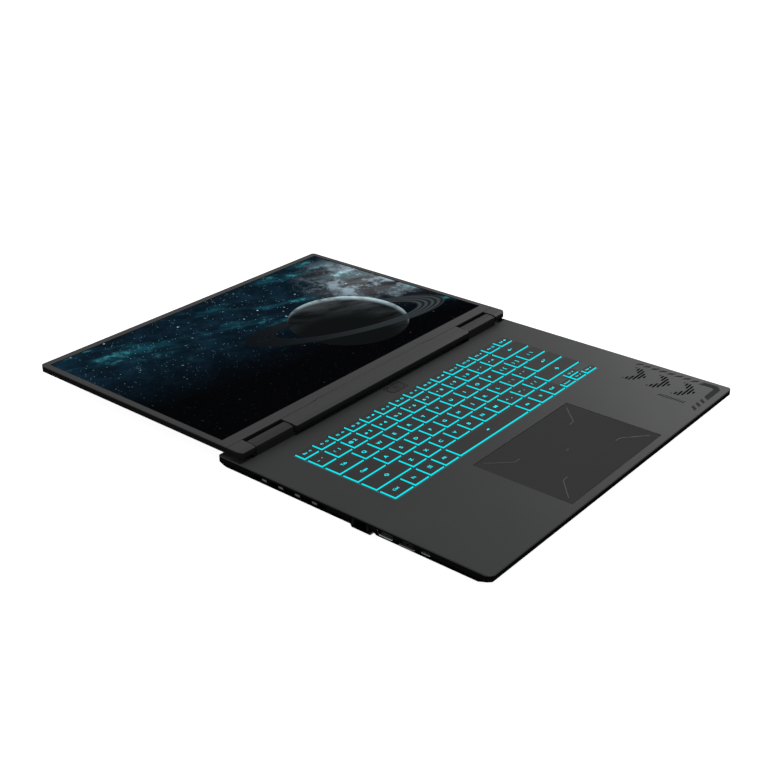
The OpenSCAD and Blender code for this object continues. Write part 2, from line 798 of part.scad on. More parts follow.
// Rotor: hub, shaft and backward curved blades
hub_r = 12;
blade_t = 0.8;
blade_sweep = 38;
blade_z0 = fan_z + fan_wall + 0.4;
blade_z1 = fan_z + fan_h - fan_wall - 0.4;
blade_steps = 5;
function blade_point(i, side) =
    let (r = hub_r - 0.5 + (rotor_r - hub_r + 0.5) * i / blade_steps,
        a = -blade_sweep * pow(i / blade_steps, 1.3) + side * asin(blade_t / 2 / r))
    [r * cos(a), r * sin(a)];
blade = concat([for (i = [0:blade_steps]) blade_point(i, -1)],
    [for (i = [blade_steps:-1:0]) blade_point(i, 1)]);

module fan_rotor() color([0.12, 0.12, 0.13])
    translate([fan_x, -fan_y, 0]) {
        translate([0, 0, blade_z0 - 0.1])
            cylinder(h = blade_z1 - blade_z0 + 0.2, r = hub_r, $fn = 48);
        translate([0, 0, fan_z + 0.1])
            cylinder(h = blade_z0 - fan_z, r = shaft_r, $fn = 32);
        for (i = [0:blade_n - 1])
            rotate([0, 0, i * 360 / blade_n])
                along_z(blade, blade_z0, blade_z1);
    }

// Heat sinks: thin fins under a cover sheet
stack_y0 = duct_y + 0.4;
stack_y1 = rear_depth - shell_t - 1.5;
side_stack_x0 = duct_x + 0.4;
side_stack_x1 = base_x - 9.2;
side_stack_h = inner_top - seat - fan_z;
fin_t = 0.4;

module fin_stacks() color(copper)
    both_sides() {
        block([fan_x - housing_r, stack_y0, fan_z + duct_h - 0.5],
            [fan_x + housing_r, stack_y1, fan_z + duct_h]);
        for (x = [fan_x - housing_r:fin_pitch:fan_x + housing_r - fin_t])
            block([x, stack_y0, fan_z], [x + fin_t, stack_y1, fan_z + duct_h]);
        block([side_stack_x0, -fan_y - 26, fan_z + side_stack_h - 0.5],
            [side_stack_x1, -fan_y + 30, fan_z + side_stack_h]);
        for (y = [-fan_y - 26:fin_pitch:-fan_y + 30 - fin_t])
            block([side_stack_x0, y, fan_z], [side_stack_x1, y + fin_t, fan_z + side_stack_h]);
    }

// Flat heat pipes on cold plates
pipe_w = 6.4;
pipe_h = 1.8;
pipe_bend = 12;
pipe_z = fan_z + duct_h;
plate_z = pipe_z - 0.7;

// Points of a round bend of radius r at the corner b between a and c
function bend(a, b, c, r) =
    let (u = (a - b) / norm(a - b), v = (c - b) / norm(c - b), half = acos(u * v) / 2,
        centre = b + (u + v) / norm(u + v) * r / sin(half),
        from = b + u * r / tan(half) - centre, to = b + v * r / tan(half) - centre,
        a0 = atan2(from[1], from[0]), a1 = atan2(to[1], to[0]),
        turn = a1 - a0 > 180 ? a1 - a0 - 360 : a1 - a0 < -180 ? a1 - a0 + 360 : a1 - a0)
    [for (i = [0:6]) centre + r * [cos(a0 + turn * i / 6), sin(a0 + turn * i / 6)]];

// A route's corners rounded
function bent(route) = len(route) == 2 ? route : concat([route[0]],
    [for (i = [1:len(route) - 2]) for (p = bend(route[i - 1], route[i], route[i + 1], pipe_bend)) p],
    [route[len(route) - 1]]);

function left_of(a, b) = [a[1] - b[1], b[0] - a[0]] / norm(b - a);

// One edge of a band of width 2 s about the path p
function band_edge(p, s) =
    [for (i = [0:len(p) - 1])
        let (n0 = left_of(p[max(i - 1, 0)], p[max(i, 1)]),
            n1 = left_of(p[min(i, len(p) - 2)], p[min(i + 1, len(p) - 1)]),
            m = n0 + n1)
        p[i] + m * 2 * s / (m * m)];

module flat_pipe(route) {
    path = bent(route);
    along_z(concat(band_edge(path, pipe_w / 2), reversed(band_edge(path, -pipe_w / 2))),
        pipe_z, pipe_z + pipe_h);
}

module heat_pipes() color(copper) {
    block([-chip_x - 22, -74, plate_z], [-chip_x + 22, -42, pipe_z + 0.3]);
    block([chip_x - 22, -80, plate_z], [chip_x + 22, -36, pipe_z + 0.3]);
    flat_pipe([[-chip_x - 12, -67], [chip_x + 12, -67]]);
    both_sides() {
        flat_pipe([[chip_x - 16, -58], [chip_x + 2, -58], [fan_x - 46, -16.5], [fan_x + 35, -16.5]]);
        flat_pipe([[chip_x - 16, -48], [chip_x - 2, -48], [fan_x - 52, -9], [fan_x + 32, -9]]);
    }
}

module ssd_module() color(board_green) {
    block([-8, board_front + 5, board_top], [72, board_front + 27, board_top + 0.8]);
    for (x = [4, 26, 48])
        block([x - 6, board_front + 7, board_top + 0.8], [x + 12, board_front + 25, board_top + 2]);
}

module memory_modules() color(board_green)
    for (i = [0, 1])
        translate([0, 0, board_top + i * 2]) {
            block([-90, board_front + 3, 0], [-22.4, board_front + 31, 1]);
            for (x = [-86, -69, -52, -37])
                block([x, board_front + 9, 1 - eps], [x + 12, board_front + 21, 2]);
        }

module wifi_card() color(board_green) {
    block([90, board_front + 4, board_top], [112, board_front + 30, board_top + 0.8]);
    block([92, board_front + 8, board_top + 0.8 - eps], [110, board_front + 26, board_top + 2.2]);
}

speaker_x = base_x - 51.2;
module speaker() color(black) {
    along_z([for (p = [[0, 12], [22, 12], [29, 19], [29, 38], [20, 54], [0, 54]])
        [speaker_x + p[0], p[1] - half_depth]], floor_z, floor_z + 5);
    translate([speaker_x + 13, 30 - half_depth, floor_z + 5 - eps])
        cylinder(h = 0.8, r = 9, $fn = 32);
}

// ---------- ports ----------

port_top = deck_z - port_drop;
port_face = base_x - 1.45;
usb_w = 13.2;
usb_h = 5.4;
usb_l = 14;
hdmi_w = 15;
hdmi_h = 4.9;
oval_w = 9;
oval_h = 3.3;
oval_z = port_top - 2.2;
audio_box = 5.2;
dc_w = 8.4;
dc_h = 5.6;
dc_bore_r = 2.2;

// Wide port: a folded steel shell with a tongue
module usb_shell(y) {
    z = port_top - usb_h;
    color(steel_grey)
        difference() {
            block([port_face - usb_l, -y - usb_w / 2, z], [port_face, -y + usb_w / 2, port_top]);
            block([port_face - usb_l + 1.5, -y - usb_w / 2 + 0.4, z + 0.4],
                [port_face + past, -y + usb_w / 2 - 0.4, port_top - 0.4]);
        }
    color(black) {
        block([port_face - usb_l + 1, -y - 5.6, port_top - 2.6],
            [port_face - 1.2, -y + 5.6, port_top - 0.8]);
        port_foot(y, usb_w - 2, usb_l, z);
    }
}

// Foot that carries a port on the board
module port_foot(y, w, l, z) {
    block([port_face - l, -y - w / 2, board_top], [board_side, -y + w / 2, z + eps]);
}

module usb_a_left()
    mirror([1, 0, 0])
        usb_shell(left_usb_y);

module usb_a_right()
    for (y = right_usb_y)
        usb_shell(y);

function hdmi_outline(t) =
    let (w = hdmi_w / 2 - t, z0 = port_top - hdmi_h + t, z1 = port_top - t)
    [[-w, z1], [-w, z0 + 1.9], [-w + 1.9, z0], [w - 1.9, z0], [w, z0 + 1.9], [w, z1]];

module hdmi_port()
    translate([0, -hdmi_y, 0]) {
        color(steel_grey)
            difference() {
                along_x(hdmi_outline(0), -port_face, -port_face + 12);
                along_x(hdmi_outline(0.4), -port_face - past, -port_face + 10.5);
            }
        color(black) {
            block([-port_face + 1.2, -5, port_top - 2.7], [-port_face + 11, 5, port_top - 1.5]);
            mirror([1, 0, 0])
                port_foot(0, hdmi_w - 5, 12, port_top - hdmi_h);
        }
    }

// Oval outline of the small port in Y and Z
function oval(w, h) = concat(
    arc(w / 2 - h / 2, oval_z, h / 2, -90, 90, 8),
    arc(-w / 2 + h / 2, oval_z, h / 2, 90, 270, 8)
);

module usb_c_port()
    translate([0, -oval_usb_y, 0]) {
        color(steel_grey)
            difference() {
                along_x(oval(oval_w, oval_h), -port_face, -port_face + 10);
                along_x(oval(oval_w - 0.7, oval_h - 0.7), -port_face - past, -port_face + 8.5);
            }
        color(black) {
            block([-port_face + 0.8, -3.3, oval_z - 0.35], [-port_face + 9, 3.3, oval_z + 0.35]);
            mirror([1, 0, 0])
                port_foot(0, oval_w - 4, 10, oval_z - oval_h / 2 + 0.05);
        }
    }

module audio_jack() color(black)
    difference() {
        union() {
            block([port_face - 14.5, -audio_y - audio_box / 2, port_top - audio_box],
                [port_face, -audio_y + audio_box / 2, port_top]);
            port_foot(audio_y, audio_box - 1, 14.5, port_top - audio_box);
        }
        bar_x(port_face - audio_depth, port_face + past, -audio_y, port_top - audio_box / 2, audio_r);
    }

module dc_in_jack() color(black) {
    difference() {
        union() {
            block([port_face - 13, -dc_y - dc_w / 2, port_top - dc_h],
                [port_face, -dc_y + dc_w / 2, port_top]);
            port_foot(dc_y, dc_w - 1, 13, port_top - dc_h);
        }
        bar_x(port_face - 10, port_face + past, -dc_y, port_top - dc_h / 2, dc_bore_r);
    }
    bar_x(port_face - 10.5, port_face - 1, -dc_y, port_top - dc_h / 2, 0.6);
}

// Network socket: a housing whose lower jaw swings down for the plug
socket_w = 16;
plug_w = 12;
jaw_floor = foot_h + 0.5;
jaw_t = 1.4;
jaw_pin_r = 0.8;
jaw_pin_x = -base_x + jaw_l - 1.2;
jaw_pin_z = jaw_floor + 2.4;
socket_z0 = jaw_floor + 4.6;

module rj45_socket() color(black) {
    difference() {
        union() {
            block([-port_face, -network_y - socket_w / 2, socket_z0],
                [-port_face + 20, -network_y + socket_w / 2, port_top]);
            block([-port_face + 18, -network_y - 6, board_top],
                [-port_face + 26, -network_y + 6, inner_top - 0.4]);
        }
        block([-port_face - past, -network_y - plug_w / 2, socket_z0 - past],
            [-port_face + 14, -network_y + plug_w / 2, port_top - 0.8]);
    }
    // ears that carry the jaw's pins
    for (s = [-1, 1])
        difference() {
            block([jaw_pin_x - 1.6, -network_y + s * 6.6 - 0.9, jaw_pin_z - 1.5],
                [jaw_pin_x + 1.6, -network_y + s * 6.6 + 0.9, socket_z0 + eps]);
            translate([jaw_pin_x, -network_y, jaw_pin_z])
                rotate([90, 0, 0])
                    cylinder(h = 30, r = jaw_pin_r + 0.05, center = true, $fn = 24);
        }
}

module rj45_jaw() color([0.07, 0.07, 0.08]) {
    inner = plug_w / 2 + 2.2;
    difference() {
        intersection() {
            translate([0, -network_y, 0])
                along_x([[-jaw_w / 2 + 2.6, jaw_floor], [jaw_w / 2 - 2.6, jaw_floor],
                    [jaw_w / 2, jaw_floor + 4.4], [-jaw_w / 2, jaw_floor + 4.4]],
                    -base_x - 1, -base_x + jaw_l);
            translate([-base_x, 0, jaw_floor])
                along_y([[4, 0], [2.1, 1.4], [2.1, 4.4], [jaw_l, 4.4], [jaw_l, 0]],
                    -network_y - jaw_w, -network_y + jaw_w);
        }
        block([-base_x - past, -network_y - inner, jaw_floor + jaw_t],
            [-base_x + jaw_l + past, -network_y + inner, big]);
        block([jaw_pin_x - 2, -network_y - inner, jaw_floor - past],
            [jaw_pin_x + past, -network_y + inner, big]);
    }
    for (s = [-1, 1])
        translate([jaw_pin_x, -network_y + s * (inner - 0.9), jaw_pin_z])
            rotate([90, 0, 0])
                cylinder(h = 2.4, r = jaw_pin_r, center = true, $fn = 24);
}

// ---------- hinges ----------

// Section of the hinge cover in Y and Z about the axis
cover_top = bezel_z - axis_z - 0.4;
cover_rear = 4.9;
cover_wall = 0.9;
function cover_section(t) = concat(
    [[-barrel_front + t, -axis_rise - (t > 0 ? past : 0)], [-barrel_front + t, 0.6]],
    [[-barrel_front + 0.5 + t * 0.8, cover_top - 0.9 - t], [-2, cover_top - t],
        [cover_rear - 2.4, cover_top - t]],
    arc(cover_rear - 2.4, cover_top - 2.4, 2.4 - t, 90, 0, 5),
    [[cover_rear - t, -axis_rise - (t > 0 ? past : 0)]]
);

module hinge_cover() color(deck_grey)
    difference() {
        along_x([for (p = cover_section(0)) [p[0], p[1] + axis_z]], barrel_x, barrel_end);
        along_x([for (p = cover_section(cover_wall)) [p[0], p[1] + axis_z]], barrel_x + cover_wall,
            barrel_end - cover_wall);
        bar_x(barrel_x - past, barrel_x + past, 0, axis_z, tongue_w / 2 + 0.7);
    }

// Steel bracket: knuckle round the spindle, web, and a foot plate screwed under the deck
knuckle_r = cover_top - cover_wall - 0.15;
bracket_foot_z = deck_under - foot_plate_t;
module hinge_bracket() color(steel_grey)
    difference() {
        union() {
            bar_x(knuckle_x0, knuckle_x1, 0, axis_z, knuckle_r);
            block([knuckle_x0, -1.4, bracket_foot_z], [knuckle_x1, 1.4, axis_z - 1]);
            block([knuckle_x0, -foot_plate_y, bracket_foot_z], [knuckle_x1 + 2, 1.4, deck_under]);
        }
        block([0, -foot_plate_y - past, deck_under], [big, -1.4, axis_z - knuckle_r - 0.4]);
        bar_x(knuckle_x0 - past, knuckle_x1 + past, 0, axis_z, spindle_r + spindle_fit);
        for (p = hinge_screws_at)
            translate([p[0], p[1], 0])
                cylinder(h = big, r = hinge_screw_d / 2 + 0.1, $fn = 24);
    }

module hinge_screws() color(steel_grey)
    both_sides()
        for (p = hinge_screws_at)
            translate([p[0], p[1], 0]) {
                translate([0, 0, bracket_foot_z - 1])
                    cylinder(h = 1, r = hinge_screw_d, $fn = 24);
                translate([0, 0, bracket_foot_z - eps])
                    cylinder(h = foot_plate_t + 0.9, r = hinge_screw_d / 2, $fn = 24);
            }

// Spindle and the flat arm that carries the lid
tongue_w = 4.4;
arm_t = 2 * (axis_z - lid_z - lid_wall - 0.4);
arm_x0 = chin_x - 39.4;
arm_y1 = screen_y - 7;
module hinge_arm() color(steel_grey) {
    bar_x(barrel_x + 1.2, knuckle_x1 + 2.4, 0, axis_z, spindle_r);
    bar_x(knuckle_x1 + 0.3, knuckle_x1 + 2.4, 0, axis_z, knuckle_r - 0.15);
    difference() {
        union() {
            block([chin_x - 6, -tongue_w / 2, axis_z - arm_t / 2],
                [barrel_x + 2.4, tongue_w / 2, axis_z + arm_t / 2]);
            block([arm_x0, -tongue_w / 2 - 2, axis_z - arm_t / 2],
                [chin_x - 2, arm_y1, axis_z + arm_t / 2]);
        }
        for (x = [arm_x0 + 5:12:chin_x - 6])
            translate([x, arm_y1 - 4, 0])
                cylinder(h = big, r = 1.3, $fn = 24);
    }
}

// ---------- lid ----------

// Height at which the trim meets the cover along the lid's lower edge
trim_z = axis_z + 1.5;
rim_z = screen_z;

// Section of the lid's lower edge in Y and Z: the edge is rolled round the axis
function lower_edge(reach, t, far) = [
    [far, bezel_z - t], [-reach + 4, bezel_z - t],
    [-reach + 0.4 + t * 0.8, bezel_z - 1.1 - t * 0.9], [-reach + t, bezel_z - 1.8],
    [-reach + t, lid_z + 1.2], [-reach + 1 + t * 0.6, lid_z + t], [far, lid_z + t]
];

// Section of the lid's side and free edges, bevelled towards the back
function free_edge(reach, t) = [
    [reach - 1.4 - t, lid_z + t], [reach - t, lid_z + t + 0.9],
    [reach - t, bezel_z - 0.5], [reach - 0.5 - t, bezel_z]
];

// The lid's outer form; t is the inset of the inner form
module lid_form(t) {
    far = notch_y + past;
    intersection() {
        union() {
            intersection() {
                along_x(lower_edge(chin_reach, t, far), -chin_x + t, chin_x - t);
                along_z(rounded(chin_x - t, -chin_reach + t, far + past, chin_corner_r - t, 1), 0, big);
            }
            intersection() {
                union() {
                    both_sides()
                        along_x(lower_edge(tab_reach, t, far), tab_x + t, lid_x - t);
                    block([-lid_x + t, notch_y + t, lid_z + t],
                        [lid_x - t, half_depth - t, bezel_z - t]);
                }
                along_z(rounded(lid_x - t, -tab_reach + t, half_depth - t,
                    lid_corner_r - t, lid_corner_r - t), 0, big);
            }
        }
        along_y(concat(free_edge(lid_x, t), [for (p = reversed(free_edge(lid_x, t))) [-p[0], p[1]]]),
            -big, big);
        along_x(concat(free_edge(half_depth, t), [[-big, bezel_z], [-big, lid_z + t]]), -big, big);
    }
}

groove = 0.15;

// Openings in the ends of the chin, where the hinge arms pass
module arm_windows()
    both_sides()
        block([chin_x - 3, -tongue_w / 2 - 0.4, axis_z - arm_t / 2 - 0.3],
            [chin_x + past, tongue_w / 2 + 0.4, axis_z + arm_t / 2 + 0.3]);

module lid_cover() color(side_grey)
    difference() {
        union() {
            difference() {
                lid_form(0);
                lid_form(lid_wall);
            }
            // pads under the hinge arms
            both_sides()
                block([arm_x0 + 1, 3, lid_z + lid_wall - eps],
                    [chin_x - 8, arm_y1 - 0.5, axis_z - arm_t / 2]);
        }
        // the bezel lies on the rim, and the trim on the lower edge
        block([-big, notch_y, rim_z], [big, big, big]);
        block([-big, -big, trim_z], [big, notch_y, big]);
        along_z(rounded(lid_x - lid_wall, notch_y + lid_wall, half_depth - lid_wall,
            0.4, lid_corner_r - lid_wall), rim_z - 1, big);
        arm_windows();
    }

module display_bezel() color(deck_grey)
    difference() {
        intersection() {
            lid_form(0);
            block([-big, notch_y + groove, rim_z], [big, big, big]);
        }
        block([-screen_w / 2, screen_y, 0], [screen_w / 2, screen_y + screen_d, big]);
        translate([0, webcam_y, 0])
            cylinder(h = big, r = 1.3, $fn = 24);
        for (s = [-1, 1])
            translate([s * 9, webcam_y, 0])
                cylinder(h = big, r = 0.5, $fn = 16);
    }

module chin_trim() color(deck_grey)
    difference() {
        intersection() {
            lid_form(0);
            block([-big, -big, trim_z], [big, notch_y, big]);
        }
        lid_form(lid_wall);
        block([-chin_x + lid_wall, 0, 0], [chin_x - lid_wall, notch_y + past, bezel_z - lid_wall]);
        both_sides()
            block([tab_x + lid_wall, 0, 0], [lid_x - lid_wall, notch_y + past, bezel_z - lid_wall]);
        arm_windows();
    }

panel_border = 2.5;
module display_panel() color([0.02, 0.03, 0.05])
    block([-screen_w / 2 - panel_border, screen_y - 6, lid_z + lid_wall + panel_gap],
        [screen_w / 2 + panel_border, screen_y + screen_d + 1.6, screen_z]);

webcam_y = half_depth - 3.2;
module webcam_module() color(board_green) {
    block([-32, half_depth - 4.8, screen_z - 1.8], [32, half_depth - 1.5, screen_z]);
    color(black)
        translate([0, webcam_y, screen_z - eps])
            cylinder(h = bezel_t - 0.2, r = 1.1, $fn = 24);
}

// Flat display cable along the chin, from the panel to just short of the left hinge's arm
cable_clear = 8.05;
cable_run = 40;
cable_w = 14;
module display_cable() color(black) {
    z = lid_z + lid_wall;
    x0 = cable_clear - arm_x0;
    x1 = x0 + cable_run;
    block([x0, notch_y - 2, z], [x1, notch_y + 1.5, z + 0.6]);
    block([x1 - cable_w, notch_y + 1, z], [x1, screen_y - 7, z + 0.6]);
    block([x1 - cable_w, screen_y - 7.5, z], [x1, screen_y - 6, z + panel_gap + 1.6]);
}

bottom_cover();
rubber_feet();
cover_screws();
top_case();
keyboard_plate();
backlight_sheet();
mainboard();
battery_pack();
heat_pipes();
fin_stacks();
mirror([1, 0, 0]) fan_housing();  // fan_housing_left
fan_housing();  // fan_housing_right
mirror([1, 0, 0]) fan_rotor();  // fan_rotor_left
fan_rotor();  // fan_rotor_right
ssd_module();
memory_modules();
wifi_card();
mirror([1, 0, 0]) speaker();  // speaker_left
speaker();  // speaker_right
hdmi_port();
usb_a_left();
usb_c_port();
rj45_socket();
rj45_jaw();
usb_a_right();
audio_jack();
dc_in_jack();
mirror([1, 0, 0]) hinge_bracket();  // hinge_bracket_left
hinge_bracket();  // hinge_bracket_right
hinge_screws();
mirror([1, 0, 0]) hinge_cover();  // hinge_cover_left
hinge_cover();  // hinge_cover_right
mirror([1, 0, 0]) hinge_arm();  // hinge_arm_left
hinge_arm();  // hinge_arm_right
touchpad();
touchpad_frame();
power_button();
lid_cover();
display_bezel();
chin_trim();
display_panel();
webcam_module();
display_cable();
key_space_bar();
key_enter();
key_backspace();
key_tab();
key_caps_lock();
key_left_shift();
key_right_shift();
key_arrow_up();
key_arrow_down();
key_arrow_left();
key_arrow_right();
keys_function_row();
keys_number_row();
keys_top_letter_row();
keys_home_row();
keys_bottom_letter_row();
keys_modifier_row();
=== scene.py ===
"""Looks of an opened sixteen inch laptop computer, in metres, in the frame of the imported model.

X runs along the hinge, Y from the base towards the lid, and Z up from the table."""
import math

import bpy
import numpy as np
from mathutils import Matrix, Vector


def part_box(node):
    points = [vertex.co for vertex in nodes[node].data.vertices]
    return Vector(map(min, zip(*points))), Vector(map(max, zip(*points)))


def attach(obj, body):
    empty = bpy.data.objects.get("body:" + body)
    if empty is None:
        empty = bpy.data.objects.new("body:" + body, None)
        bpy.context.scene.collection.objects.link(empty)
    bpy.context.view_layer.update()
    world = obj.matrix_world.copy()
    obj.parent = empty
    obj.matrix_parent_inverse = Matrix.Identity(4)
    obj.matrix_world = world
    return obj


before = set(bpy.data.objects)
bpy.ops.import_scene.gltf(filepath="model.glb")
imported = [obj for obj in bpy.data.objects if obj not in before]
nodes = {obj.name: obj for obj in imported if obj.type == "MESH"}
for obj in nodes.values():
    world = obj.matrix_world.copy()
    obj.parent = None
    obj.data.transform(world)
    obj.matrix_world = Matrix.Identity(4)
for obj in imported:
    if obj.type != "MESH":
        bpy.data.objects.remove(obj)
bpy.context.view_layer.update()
MM = 0.001

# ---------------------------------------------------------------- table and camera
# The laptop lies open on a seamless white table. The table is matt and glows for the camera,
# straight or in a mirror, but does not light the laptop: it reads as white paper, and the base
# still leaves a faint shadow on it.

TABLE_REACH = 12.0
TABLE_DROP = 0.00002
TABLE_GREY = 0.32
TABLE_LIGHT = 0.93


def shader(tree, kind, *wires, **settings):
    """Adds a node of a kind to a tree. Settings are its own properties; wires go to its inputs in order,
    each a number, a colour or another node's socket, and None leaves an input as it is."""
    made = tree.nodes.new(kind)
    for name, value in settings.items():
        setattr(made, name, value)
    for socket, wire in zip(made.inputs, wires):
        if isinstance(wire, bpy.types.NodeSocket):
            tree.links.new(wire, socket)
        elif wire is not None:
            socket.default_value = wire
    return made


def calc(tree, operation, *wires, clamp=False):
    """Socket with the result of one Math node."""
    return shader(tree, "ShaderNodeMath", *wires, operation=operation, use_clamp=clamp).outputs[0]


def seen_directly(tree):
    """Socket that is 1 for what the camera sees straight, in a mirror or through glass, and 0 otherwise."""
    path = shader(tree, "ShaderNodeLightPath").outputs
    either = calc(tree, "MAXIMUM", path["Is Camera Ray"], path["Is Glossy Ray"])
    return calc(tree, "MAXIMUM", either, path["Is Transmission Ray"])


def stood(rightward, upward, backward, place):
    """Matrix of an object with those three axes at that place."""
    return Matrix(np.column_stack((rightward, upward, backward, place)).tolist() + [[0, 0, 0, 1]])


paper = bpy.data.materials.new("table_paper")
paper.use_nodes = True
tree = paper.node_tree
tree.nodes.clear()
matt = shader(tree, "ShaderNodeBsdfDiffuse", (TABLE_GREY, TABLE_GREY, TABLE_GREY, 1.0))
light_share = calc(tree, "MULTIPLY", seen_directly(tree), TABLE_LIGHT)
white = shader(tree, "ShaderNodeEmission", (1.0, 1.0, 1.0, 1.0), light_share)
both = shader(tree, "ShaderNodeAddShader", matt.outputs[0], white.outputs[0])
shader(tree, "ShaderNodeOutputMaterial", both.outputs[0])

table_mesh = bpy.data.meshes.new("table")
corners = TABLE_REACH * np.array([(-1, -1, 0), (1, -1, 0), (1, 1, 0), (-1, 1, 0)], float)
table_mesh.from_pydata((corners - (0, 0, TABLE_DROP)).tolist(), [], [(0, 1, 2, 3)])
table_mesh.materials.append(paper)
table = bpy.data.objects.new("table", table_mesh)
bpy.context.scene.collection.objects.link(table)

CAMERA_TARGET = np.array((-2.351, -4.686, 15.3)) * MM
CAMERA_AZIMUTH = math.radians(-50.46)
CAMERA_ELEVATION = math.radians(26.576)
CAMERA_ROLL = -0.004
CAMERA_DISTANCE = 1091.703 * MM
CAMERA_LENS = 59.27
SENSOR_WIDTH = 36.0
NEAREST_SEEN = 0.02
back = np.array((math.sin(CAMERA_AZIMUTH) * math.cos(CAMERA_ELEVATION),
                 -math.cos(CAMERA_AZIMUTH) * math.cos(CAMERA_ELEVATION), math.sin(CAMERA_ELEVATION)))
level = np.cross(-back, (0, 0, 1))
level /= np.linalg.norm(level)
rise = np.cross(level, -back)
rolled_level = math.cos(CAMERA_ROLL) * level + math.sin(CAMERA_ROLL) * rise
rolled_rise = math.cos(CAMERA_ROLL) * rise - math.sin(CAMERA_ROLL) * level
lens = bpy.data.cameras.new("camera")
lens.lens = CAMERA_LENS
lens.sensor_width = SENSOR_WIDTH
lens.clip_start = NEAREST_SEEN
camera = bpy.data.objects.new("camera", lens)
camera.matrix_world = stood(rolled_level, rolled_rise, back, CAMERA_TARGET + back * CAMERA_DISTANCE)
bpy.context.scene.collection.objects.link(camera)
bpy.context.scene.camera = camera
bpy.context.scene.view_settings.view_transform = "Standard"

# ---------------------------------------------------------------- light
# One large soft lamp stands low beyond the right-hand side, so the deck grows lighter towards its
# near right corner. A white room fills in the rest.

ROOM_FILL = 0.9
LAMP_PLACE = np.array((1.22, 0.06, 0.48))
LAMP_AIM = np.array((0.05, 0.0, 0.0))
LAMP_SIDE = 0.75
LAMP_WATTS = 13.5

world = bpy.data.worlds.new("room")
world.use_nodes = True
bpy.context.scene.world = world
tree = world.node_tree
tree.nodes.clear()
fill = calc(tree, "MAXIMUM", seen_directly(tree), ROOM_FILL)
room = shader(tree, "ShaderNodeBackground", (1.0, 1.0, 1.0, 1.0), fill)
shader(tree, "ShaderNodeOutputWorld", room.outputs[0])

light = bpy.data.lights.new("right_lamp", "AREA")
light.size = LAMP_SIDE
light.energy = LAMP_WATTS
lamp = bpy.data.objects.new("right_lamp", light)
outward = LAMP_PLACE - LAMP_AIM
outward /= np.linalg.norm(outward)
sideways = np.cross((0, 0, 1), outward)
sideways /= np.linalg.norm(sideways)
lamp.matrix_world = stood(sideways, np.cross(outward, sideways), outward, LAMP_PLACE)
bpy.context.scene.collection.objects.link(lamp)

# ---------------------------------------------------------------- deck
# The top case is one moulding of glass-filled plastic under a dark grey paint with a fine grain.
# Its upper face is grey; its walls are painted near black as shade, so they run into the black of
# the bottom cover.

GRAIN = 0.00035
GRAIN_HEIGHT = 0.00002
GRAIN_STRENGTH = 0.35
FLECK = 2.2
FLECK_DEPTH = 0.14
DRIFT_SIZE = 0.06
GLOSS_DRIFT = 0.06
WALL_BLOTCH = 0.03
WALL_DEPTH = 0.15
UPWARD = 0.6
TOUCH = 1e-6


def material(name, roughness, specular, metallic=0.0):
    """A new material: returns it, its tree and its Principled shader with constant gloss."""
    made = bpy.data.materials.new(name)
    made.use_nodes = True
    surface = made.node_tree.nodes["Principled BSDF"]
    surface.inputs["Roughness"].default_value = roughness
    surface.inputs["Specular IOR Level"].default_value = specular
    surface.inputs["Metallic"].default_value = metallic
    return made, made.node_tree, surface


def place_of(tree):
    """Socket with the point's own coordinates, in metres."""
    return shader(tree, "ShaderNodeTexCoord").outputs["Object"]


def coordinates(tree):
    """Sockets with the point's own X, Y and Z."""
    return shader(tree, "ShaderNodeSeparateXYZ", place_of(tree)).outputs


def noise(tree, size, detail=2.0, roughness=0.5, where=None):
    """Socket with smooth noise from 0 to 1 whose blotches are about size metres wide."""
    made = shader(tree, "ShaderNodeTexNoise", where or place_of(tree), None, 1.0 / size, detail, roughness)
    return made.outputs[0]


def blend_of(tree, share, first, second):
    """Socket with the colour that runs from first to second as share goes from 0 to 1."""
    made = shader(tree, "ShaderNodeMix", share, data_type="RGBA")
    for socket, colour in ((made.inputs[6], first), (made.inputs[7], second)):
        if isinstance(colour, bpy.types.NodeSocket):
            tree.links.new(colour, socket)
        else:
            socket.default_value = (*colour, 1.0)
    return made.outputs[2]


def mottled(tree, share, colour, depth):
    """Socket with a colour that runs from darker to lighter by depth, as share goes from 0 to 1."""
    colour = np.array(colour)
    return blend_of(tree, share, colour * (1 - depth), colour * (1 + depth))


def combined(tree, how, first, second):
    """Socket with two colours put together, such as by ADD or MULTIPLY."""
    made = shader(tree, "ShaderNodeMix", 1.0, data_type="RGBA", blend_type=how)
    tree.links.new(first, made.inputs[6])
    tree.links.new(second, made.inputs[7])
    return made.outputs[2]


def recolour(tree, surface, share, colour, socket="Base Color"):
    """Gives a share of the surface another colour over the one that is wired to a socket."""
    before = surface.inputs[socket].links[0].from_socket
    tree.links.new(blend_of(tree, share, before, colour), surface.inputs[socket])


def facing_up(tree, least):
    """Socket that is 1 where the surface's own normal has more than least of Z."""
    geometry = shader(tree, "ShaderNodeNewGeometry")
    normal = shader(tree, "ShaderNodeSeparateXYZ", geometry.outputs["True Normal"])
    return calc(tree, "GREATER_THAN", normal.outputs[2], least)


def product(tree, first, *others):
    """Socket with several values multiplied together."""
    for other in others:
        first = calc(tree, "MULTIPLY", first, other)
    return first


def ramp(tree, value, low, high):
    """Socket that runs smoothly from 0 at low to 1 at high, whichever is the larger."""
    made = shader(tree, "ShaderNodeMapRange", value, low, high, 0.0, 1.0, interpolation_type="SMOOTHSTEP")
    return made.outputs[0]


def outside(tree, coordinate, low, high):
    """Socket with how far a coordinate lies outside the span from low to high, or 0 within it."""
    off = calc(tree, "ABSOLUTE", calc(tree, "SUBTRACT", coordinate, (low + high) / 2))
    return calc(tree, "MAXIMUM", calc(tree, "SUBTRACT", off, (high - low) / 2), 0.0)


def within(tree, coordinate, low, high):
    """Socket that is 1 where a coordinate lies in the span from low to high."""
    return calc(tree, "LESS_THAN", outside(tree, coordinate, low, high), TOUCH)


